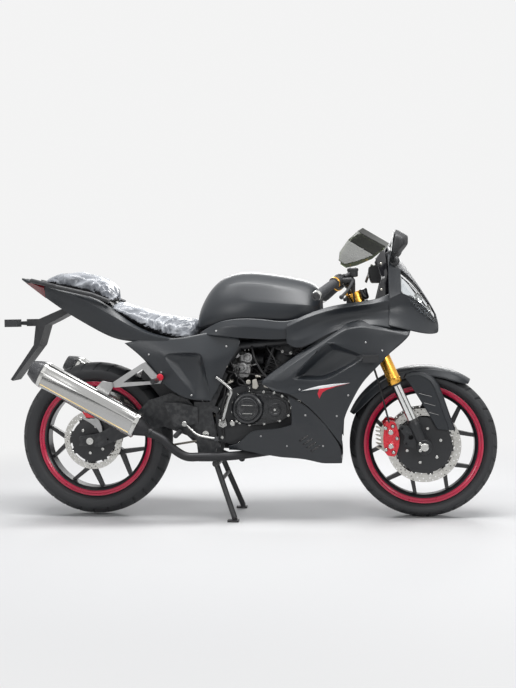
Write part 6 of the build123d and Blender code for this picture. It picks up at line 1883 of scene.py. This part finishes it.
piece("clip_on_bars", "satin_black", "steering", "satin_black_metal", ("handlebars",), bevel=2.4, angle=34,
    both=True, bits=[
    swept([(leg_x(900) - 8, -56, 936), (1020, -110, 946), tuple(KNEE), tuple(on_bar(0.12))], 11, 20, 6),
    bar(on_bar(0.08), on_bar(1.0), 10.8),
    cut([(leg_x(900) - 27, 838), (leg_x(900) + 7, 838), (leg_x(900) + 7, 944), (leg_x(900) - 2, 955),
            (leg_x(900) - 20, 955), (leg_x(900) - 27, 944)], -69, -43),
])
piece("fork_top_collars", "gold_anodised", "steering", "gold_anodised", angle=30, both=True, bits=[
    turned(on_leg(892, -98), on_leg(866, -98),
        [(0, 26), (1, 29), (13, 30.5), (14, 27.5), (20, 27.5), (21, 26)], 44),
    bar((leg_x(880) - 34, -84, 884), (leg_x(880) - 34, -112, 884), 6, 1),
])
rubber = [(0, 12), (0, 20.5), (2, 21.5), (5, 21.5), (7, 16.6)]
for k in range(19):
    rubber += [(10 + 6 * k, 16.0), (11.2 + 6 * k, 17.3), (14.2 + 6 * k, 17.3)]
rubber += [(125, 16.6), (127, 15.4), (127, 12)]
piece("grip_rubbers", "grip_rubber", "steering", "grip_rubber", ("grips",), angle=34, both=True, bits=[
    along_bar(0.32, 0.93, rubber, 28),
])
piece("bar_end_rings", "bright_steel", "steering", "bare_steel", angle=30, both=True, bits=[
    along_bar(0.935, 1.06, [(0, 12), (0.5, 17), (2, 18), (13, 18), (14.5, 16.6), (15.5, 16.6)], 36),
])
piece("bar_end_weights", "gloss_black", "steering", "grip_rubber", angle=30, both=True, bits=[
    along_bar(1.0, 1.06, [(-1, 15), (1, 16.8), (9, 16.4), (12, 13.5), (12.4, 6), (10, 5.2), (10, 1)], 36),
])
piece("switch_pods", "moulded_black", "steering", "control_plastic", ("hand_controls",), bevel=0.8,
    angle=34, bits=[
    pair(along_bar(0.10, 0.29, [(0, 12), (0, 20), (3, 22), (17, 22.4), (18, 21), (20, 21), (21, 22.4),
            (36, 22), (39, 19), (39, 12)], 28)),
    pair(bar((1040, -196, 962), (1022, -206, 950), 7, 1.2, 16)),
    pair(bar((1002, -216, 958), (996, -222, 936), 5, 1, 14)),
    turned((1052, -176, 949), (1052, -176, 984), [(0, 12), (2, 18.6), (5, 19.6), (22, 19.6), (23, 21.4),
            (25, 21.6), (31, 21.6), (33.6, 19.5), (34, 12), (33, 11)], 40),
    bar((1052, -176, 953), tuple(on_bar(0.14)), 7),
    pair(bar(tuple(on_bar(0.2)), (1048, -213, 937), 10, 1.5)),
])
piece("hand_levers", "satin_black", "steering", "control_plastic", angle=50, both=True, bits=[
    swept([(1046, -210, 938), (1052, -230, 931), (1038, -292, 902), (1020, -340, 880), (1012, -358, 871)],
        [7.5, 6.6, 5.4, 5.6, 6.4], 16, 6),
    turned((1014, -352, 873), (1010, -363, 868),
        [(0, 4), (1, 7), (5, 8.6), (9, 8.2), (12, 5), (12.6, 1)], 20),
])
lid_screws = [((1052 + 15 * cos(t), -176 + 15 * sin(t), 983.5), facing((0, 0, 1)), 0.55) for t in (0.8, 3.9)]
lid_screws += [((leg_x(900) - 10, s * 69, z), facing((0, s, 0)), 0.8) for s in (-1, 1)
    for z in (862, 900, 936)]
copies("control_screws", SOCKET_BOLT, lid_screws, "bright_steel", "steering")
piece("bar_clamps", "gold_anodised", "steering", "gold_anodised", angle=30, both=True, bits=[
    along_bar(0.285, 0.34, [(0, 12), (0.5, 21), (2, 22.4), (8, 22.4), (9.6, 21), (10, 12)], 32),
])
ribs = [(0, 6)]
for k in range(7):
    ribs += [(2 + 6.4 * k, 9.5), (4.2 + 6.4 * k, 13), (5.8 + 6.4 * k, 13)]
ribs += [(46, 9.5), (47, 6)]
piece("ribbed_boots", "hose_rubber", "steering", "control_plastic", angle=40, both=True, bits=[
    turned((1030, -134, 918), (1012, -142, 956), ribs, 32),
])
piece("damping_pots", "gloss_black", "steering", "control_plastic", angle=34, both=True, bits=[
    turned((1100, -116, 866), (1088, -118, 906),
        [(0, 9), (2, 14), (5, 15), (28, 15), (29, 16), (38, 16), (40, 14), (41, 5), (40, 4)], 36),
])
CABLES = [   # each runs from a hand control under the bar and down to the fork's top
    [(1040, -196, 948), (1046, -160, 960), (1040, -120, 948), (1050, -84, 900), (1080, -62, 846)],
    [(1022, -206, 944), (1030, -150, 938), (1036, -100, 904), (1070, -62, 842)],
    [(1052, -176, 952), (1050, -140, 934), (1050, -104, 890), (1078, -74, 838)],
]
piece("control_cables", "hose_rubber", "steering", "control_plastic", angle=60, both=True, bits=[
    *(swept(run, 3.6, 10, 6) for run in CABLES),
])

# %% [markdown]
# ## Instruments and dash
# The binnacle holds two round clocks with plain ticks round a dark face and a needle each. Below and
# beside it a glossy dash closes the space between the screen and the nose, so nothing shows through.
# %% Instruments and dash
FACE_TILT = Vector((-0.94, 0, 0.34)).normalized()
piece("instrument_case", "moulded_black", "chassis", "black_plastic", ("instruments",), bevel=7.0,
    segments=4, bits=[
    cut([(1122, 931), (1160, 932), (1169, 946), (1166, 992), (1140, 999), (1112, 990), (1111, 966)],
        -89, 89),
])
piece("binnacle_shroud", "moulded_black", "chassis", "black_plastic", bevel=5.0, segments=3, bits=[
    cut([(1146, 933), (1196, 935), (1198, 1056), (1166, 1038), (1138, 1000)], -86, 86),
])
clocks, faces_of, needles, ticks = Shape(), Shape(), Shape(), []
for side in (-1, 1):
    middle = Vector((1113, 43 * side, 968))
    clocks.add(*turned(middle, middle + FACE_TILT,
            [(-6, 34), (-6, 36.5), (2, 36.5), (3.4, 35), (3.4, 32.6), (-1, 32.2)], 56))
    faces_of.add(*turned(middle, middle + FACE_TILT,
            [(-5, 2), (-4, 32), (-2, 32), (-1.8, 30), (-1.8, 1)], 48))
    across, up = Vector((0, 1, 0)), FACE_TILT.cross(Vector((0, 1, 0))).normalized()
    for k in range(25):
        t = radians(-225 + 270 * k / 24)
        ray = across * cos(t) + up * sin(t)
        spot = middle + ray * 26 - FACE_TILT * 1.4
        lie = Matrix((ray, FACE_TILT.cross(ray), FACE_TILT)).transposed().to_euler()
        ticks.append((tuple(spot), lie, (1.0 if k % 4 else 1.9, 1, 1)))
    tip = middle + (across * -0.55 + up * 0.83) * 22 - FACE_TILT * 0.4
    needles.add(*swept([tuple(middle - FACE_TILT * 0.4), tuple(tip)], [1.8, 0.6], 8, 0))
    needles.add(*turned(middle - FACE_TILT * 1.6, middle + FACE_TILT, [(0, 5), (2.4, 4.6), (2.8, 1)], 20))
clocks.done("clock_rims", "cast_silver", "chassis", "black_plastic", angle=30)
faces_of.done("clock_faces", "gloss_black", "chassis", "black_plastic", angle=30)
needles.done("clock_needles", "red_decal", "chassis", "black_plastic", angle=40)
copies("clock_ticks", block((-2.2, 2.2), (-0.5, 0.5), (-0.3, 0.5)), ticks, "white_decal",
    "chassis")
pts = right_side({"a": (1140, 142, 1020), "b": (1154, 118, 1044), "c": (1172, 96, 1054),
        "d": (1180, 62, 1066), "e": (1194, 0, 1082), "f": (1160, 160, 946), "g": (1176, 156, 952),
        "h": (1190, 144, 962), "i": (1198, 64, 970), "j": (1202, 0, 972), "k": (1136, 165, 852),
        "l": (1162, 162, 850), "m": (1190, 154, 856), "n": (1202, 70, 856), "o": (1206, 0, 856),})
faces = ["a b g f", "b c h g", "c d i h", "d e j i", "f g l k", "g h m l", "h i n m", "i j o n"]
skin("dash_liner", pts, faces, "gloss_black",
    creases={"f-g-h": 0.6, "b-g-l": 0.3, "c-h-m": 0.6}, crease=0.2, wall=2.6)
spots = [((x, s * (y + 1.5), z), facing((0, s, 0)), 0.75) for s in (-1, 1) for x, y, z in
         ((1160, 144, 1000), (1160, 162, 900))]
copies("dash_screws", DOME_BOLT, spots, "zinc_steel", "chassis")

# %% [markdown]
# ## Headlamps
# Each lamp is a clear leaf-shaped cover. Behind the cover a ribbed reflector steps back in bands, with a
# round bowl and its bulb at the front end and a smaller one behind.
# %% Headlamps
LAMP = [   # x, then (y, z) of the opening's low, middle and top points
    (1238, (150, 892), (147, 914), (126, 950)), (1290, (132, 834), (124, 872), (101, 906)),
    (1340, (104, 793), (92, 822), (75, 841)), (1368, (66, 770), (60, 779), (50, 789)),
]


def lamp_layer(name, sunk, dress, levels=3, wall=2.0, replaces=(), crease=0.2):
    """One leaf of the lamp, sunk into the cowl by a distance that is less at both ends."""
    rows = []
    for i, (x, low, mid, top) in enumerate(LAMP):
        pull = Vector((-0.35, 0.86, 0.1)).normalized() * sunk * (0.35 if i in (0, 3) else 1.0)
        rows.append([(x + pull.x, -y + pull.y, z + pull.z) for y, z in (low, mid, top)])
    pts, faces = grid("l", rows)
    return skin(name, pts, faces, dress, replaces=replaces, crease=crease, wall=wall,
        levels=levels)


lamp_layer("lamp_covers", 1.0, "lamp_glass", replaces=("headlamps",))
lamp_layer("lamp_reflectors", 26.0, "reflector", crease=0.0)
INWARD = Vector((-5, 17, 1))


def lamp_rib(f):
    """One rib of the reflector at a share of the way from rear to front."""
    low = Vector((1246 + 112 * f, -144 + 78 * f, 894 - 118 * f))
    high = Vector((1246 + 112 * f, -124 + 74 * f, 934 - 146 * f))
    return swept([tuple(low + INWARD), tuple((low + high) / 2 + INWARD * 0.8), tuple(high + INWARD)], 2.0,
        8, 4)


def lamp_bowl(x, y, z, r):
    """A round bowl of radius r with its bulb, looking out and forward from behind (x, y, z)."""
    look = Vector((0.72, -0.58, 0.2))
    back = Vector((x, y, z)) - look.normalized() * 14
    return turned(back, back + look, [(0, 3), (2, r * 0.55), (8, r * 0.86), (15, r), (16.5, r + 1),
            (16.5, r - 0.8), (9, r * 0.8), (3, r * 0.4), (2.4, 4), (13, 3.6), (14, 1)], 32)


piece("lamp_ribs", "chrome", "chassis", "lamp_lens", angle=50, both=True,
    bits=[lamp_rib(k / 8) for k in range(9)])
piece("lamp_bowls", "chrome", "chassis", "lamp_lens", angle=40, both=True,
      bits=[lamp_bowl(1300, -104, 864, 22), lamp_bowl(1340, -78, 824, 15)])

# %% [markdown]
# ## Mirrors
# A mirror is a thin shell on a flat stalk, with the glass let into its rear face.
# %% Mirrors


def ringed(name, rings, dress, body="chassis", replaces=(), levels=2, crease=0.0, both=True):
    """Closed body through rings of equally many points, rounded off, on both sides of the bike."""
    n = len(rings[0])
    verts = [p for ring in rings for p in ring]
    faces = [(i * n + k, i * n + (k + 1) % n, (i + 1) * n + (k + 1) % n, (i + 1) * n + k)
             for i in range(len(rings) - 1) for k in range(n)]
    faces += [tuple(range(n - 1, -1, -1)), tuple(range((len(rings) - 1) * n, len(rings) * n))]
    gathered = Shape().add(verts, faces, both)
    obj = make(name, gathered.verts, gathered.faces, dress, body, replaces, 180)
    outward(obj)
    layer = obj.data.attributes.new("crease_edge", "FLOAT", "EDGE")
    for i in range(len(obj.data.edges)):
        layer.data[i].value = crease
    round_off = obj.modifiers.new("round_off", "SUBSURF")
    round_off.levels = round_off.render_levels = levels
    print(name, len(gathered.verts), "cage points")
    return obj


ringed("mirror_shells", [[(1196, -208, 1022), (1216, -208, 1020), (1232, -208, 1044), (1228, -208, 1066),
        (1206, -208, 1074), (1199, -208, 1050)], [(1193, -240, 1017), (1224, -240, 1022), (1246, -240,
        1054), (1246, -240, 1090), (1208, -240, 1104), (1198, -240, 1060)], [(1192, -290, 1015),
        (1228, -290, 1026), (1257, -290, 1062), (1258, -290, 1094), (1210, -290, 1122), (1198, -290, 1066)],
        [(1197, -332, 1034), (1220, -332, 1040), (1240, -332, 1058), (1238, -332, 1080), (1210, -332, 1094),
        (1201, -332, 1062)],], "moulded_black", replaces=("mirrors",), crease=0.45)
piece("mirror_stalks", "moulded_black", "chassis", "black_plastic", bevel=1.5, angle=36, both=True,
    bits=[
    swept([(1206, -112, 1012), (1204, -150, 1022), (1208, -196, 1031), (1212, -226, 1040)],
        [15, 10, 8.5, 9], 18, 6),
    turned((1210, -110, 1008), (1204, -142, 1018), [(0, 12), (2, 22), (7, 23), (12, 20), (15, 12)], 28),
])
outline = [(-216, 1026), (-240, 1020), (-290, 1018), (-328, 1036), (-328, 1088), (-290, 1114), (-240, 1096),
    (-216, 1070)]
verts = [(1193.5 + (0.12 * (z - 1020)), y, z) for y, z in outline] + [(1191 + (0.12 * (z - 1020)), y, z)
    for y, z in outline]
n = len(outline)
piece("mirror_glasses", "reflector", "chassis", "black_plastic", bevel=0.6, both=True, bits=[
    (verts, [tuple(range(n)), tuple(range(2 * n - 1, n - 1, -1))] + [(k, (k + 1) % n, (k + 1) % n + n,
            k + n) for k in range(n)]),
])

# %% [markdown]
# ## Bolts, flashes and mesh on the panels
# Small trim sits on the finished skins, so each spot is found by casting a ray from the side onto the dressed
# panel. Bolts and mesh dots are Geometry Nodes copies on those spots, and a flash is a thin sheet whose
# points all lie on the panel. The mesh dots are dark cups of painted shade for the holes of the intake mesh,
# and the belly vents are black sheets of painted shade where the openings would be.
# %% Trim laid on the skins
from mathutils.bvhtree import BVHTree


def caster(name):
    """Find (point in mm, normal) on a dressed piece, straight in from the right at (x, z)."""
    bpy.context.view_layer.update()
    tree = BVHTree.FromObject(bpy.data.objects[name], bpy.context.evaluated_depsgraph_get())

    def cast(x, z):
        start = Vector(at(x, -480, z))
        hit, normal, _, _ = tree.ray_cast(start, Vector((0, 1, 0)))
        if hit is None or hit.y > 0:
            return None, None
        return Vector((x, hit.y * 1000, z)), (normal if normal.y < 0 else -normal)
    return cast


def both_spots(cast, spots, size=0.62):
    """Places for copies on the right-hand skin and mirrored on the left."""
    places = []
    for x, z in spots:
        p, n = cast(x, z)
        if p is None:
            print("no skin at", x, z)
            continue
        places.append((tuple(p), facing(n), size))
        places.append(((p.x, -p.y, p.z), facing((n.x, -n.y, n.z)), size))
    return places


def laid_on(name, outlines, cast, dress, lift=0.7, cuts=3):
    """Thin sheets that follow a skin, from (x, z) outlines, on both sides."""
    bm = bmesh.new()
    for outline in outlines:
        bm.faces.new([bm.verts.new((x, 0, z)) for x, z in outline])
    bmesh.ops.triangulate(bm, faces=bm.faces)
    bmesh.ops.subdivide_edges(bm, edges=bm.edges, cuts=cuts, use_grid_fill=True)
    lost = []
    for v in bm.verts:
        p, _ = cast(v.co.x, v.co.z)
        if p is None:
            lost.append(v)
        else:
            v.co.y = p.y - lift
    bmesh.ops.delete(bm, geom=lost, context="VERTS")
    bm.verts.index_update()
    gathered = Shape().add([tuple(v.co) for v in bm.verts],
        [tuple(v.index for v in f.verts) for f in bm.faces], both=True)
    bm.free()
    obj = make(name, gathered.verts, gathered.faces, dress, "chassis")
    face_outward(obj)
    thick = obj.modifiers.new("wall", "SOLIDIFY")
    thick.thickness, thick.offset = 0.0009, -1
    print(name, len(gathered.verts), "points")
    return obj


on_fairing = caster("side_fairing_skins")
on_belly = caster("belly_pan_skin")
on_panel = caster("side_panel_skins")
on_cover = caster("tank_cover_skins")
bolts = both_spots(on_fairing, [(1098, 700), (846, 524), (1160, 668), (1030, 500), (985, 420)])
bolts += both_spots(on_belly, [(690, 340), (790, 300), (930, 300), (866, 424)])
bolts += both_spots(on_panel, [(250, 660), (300, 590), (420, 500), (560, 690)])
bolts += both_spots(on_cover, [(520, 750), (840, 762)])
copies("panel_bolts", DOME_BOLT, bolts, "cast_silver", "chassis")
laid_on("white_flashes", [[(852, 519), (888, 530), (921, 538), (975, 545), (1039, 548), (985, 538),
        (959, 532), (921, 527)]], on_fairing, "white_decal")
laid_on("red_flashes", [[(921, 527), (959, 532), (1039, 548), (985, 535), (950, 523), (933, 513),
        (921, 489), (914, 508)]], on_fairing, "red_decal")
# Painted shade: each dark cup stands for a hole of the intake mesh, dark because it is in shade.
DOT = turned((0, 0, 0), (0, 0, 1), [(-1.5, 2.6), (0.5, 2.6), (0.8, 2.0), (0.8, 1.2), (-0.6, 1.0)], 8)
dots = [(950 + 148 * k / 25 + 4 * row, 562 + 74 * k / 25 + 9 * row) for row in range(2) for k in range(26)]
dots += [(838 + 100 * k / 17, 588 + 96 * k / 17) for k in range(18)]
copies("intake_mesh_dots", DOT, both_spots(on_fairing, dots), "gloss_black", "chassis")
# Painted shade: black sheets laid on the belly where the vent openings would be in shade.
vents = [[(836 + 14 * k, 322 - 14 * k), (872 + 14 * k, 346 - 14 * k), (878 + 14 * k, 341 - 14 * k),
        (842 + 14 * k, 316 - 14 * k)] for k in range(4)]
laid_on("belly_vents", vents, on_belly, "gloss_black", cuts=1)
piece("side_reflectors", "red_decal", "chassis", "body_paint", angle=40, bits=[
    *(turned((298, 172 * s, 572), (298, 180 * s, 572),
           [(0, 9), (0, 13), (4, 13.5), (6, 12), (6.6, 8), (7.6, 1)], 28) for s in (-1, 1)),
])

# %% [markdown]
# ## Rear brake
# The caliper body is painted, its bracket is bare, and two bolts clamp them together.
# %% Rear brake
piece("rear_caliper_body", "caliper_red", "chassis", "caliper_red", ("rear_caliper",), bevel=2.2, bits=[
    cut([(-38, 426), (-30, 448), (-8, 452), (20, 450), (32, 436), (30, 418), (14, 408), (-22, 406)], -97,
        -85.5),
    cut([(-34, 424), (-26, 446), (18, 448), (28, 434), (24, 414), (-20, 410)], -74.5, -69),
    cut([(-26, 440), (-20, 452), (16, 452), (22, 442)], -97, -69),
])
piece("rear_caliper_bracket", "cast_silver", "chassis", "caliper_red", bevel=1.6, bits=[
    cut([(28, 402), (34, 430), (26, 436), (12, 402), (-20, 402), (-36, 410), (-39, 404), (-10, 388),
            (20, 366), (36, 340), (44, 344), (42, 372)], -100, -94),
])
copies("rear_caliper_bolts", SOCKET_BOLT, [((x, -97, z), facing((0, -1, 0)), 0.9)
        for x, z in ((-26, 432), (22, 432), (-4, 442))], "bright_steel", "chassis")

# %% [markdown]
# ## Dark fill for the shade behind the engine
# A ribbed black sheet hangs between the engine and the far side as stand-in shade, and darkens the view
# through the engine window. A black block fills the dark corner ahead of the rear tyre as stand-in shade.
# %% Dark fill for the shade behind the engine
# Painted shade: dark sheets and a block put where the inside of the bike is in shade.
piece("heat_shield", "moulded_black", "chassis", "black_plastic", bevel=0.8, angle=30, bits=[
    cut([(470, 474), (690, 474), (704, 590), (822, 640), (902, 690), (902, 716), (470, 716)], 71, 75),
    *(bar((490 + 34 * k, 70, 712), (500 + 30 * k, 70, 566), 3.2, 1, 10) for k in range(7)),
    cut([(225, 541), (250, 514), (270, 487), (286, 465), (338, 470), (338, 600), (300, 632), (240, 640),
            (205, 604), (195, 567)], -58, 58),
])

# %% [markdown]
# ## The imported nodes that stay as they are
# Many nodes have the right shape already. They keep their mesh and get a finish in their own
# material slot.
# %% Finishes for the kept nodes
KEPT = {
    "tyre_rubber": "front_tyre rear_tyre",
    "wheel_black": "front_wheel_casting rear_wheel_casting",
    "disc_steel": "front_discs rear_disc",
    "chain_steel": "rear_sprocket drive_chain",
    "gold_anodised": "fork_uppers",
    "fork_chrome": "fork_stanchions",
    "satin_black": "fork_lowers fork_clamps frame frame_pivot_plates subframe swingarm rear_shock "
        "grab_rails footrests",
    "bright_steel": "front_axle swingarm_shafts foot_levers",
    "caliper_red": "front_calipers",
    "matt_paint": "front_mudguard fuel_tank tail_fairing side_panels tank_covers side_fairings "
        "belly_pan nose_fairing",
    "hose_rubber": "brake_hoses",
    "cast_black": "engine_crankcase engine_cylinder",
    "cover_black": "engine_covers",
    "cast_silver": "carburettor pillion_brackets",
    "pipe_black": "exhaust_pipes",
    "chrome": "mufflers",
    "vinyl": "rider_seat pillion_seat",
    "red_lens": "tail_lamp",
    "smoked_screen": "windscreen",
    "moulded_black": "number_plate_bracket indicators",
    "stand_black": "centre_stand side_stand",
}
kept = [(name, dress) for dress, names in KEPT.items() for name in names.split()]
for name, dress in kept:
    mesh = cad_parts[name].data
    mesh.materials.clear()
    mesh.materials.append(FINISHES[dress])
print("kept nodes", len(kept))
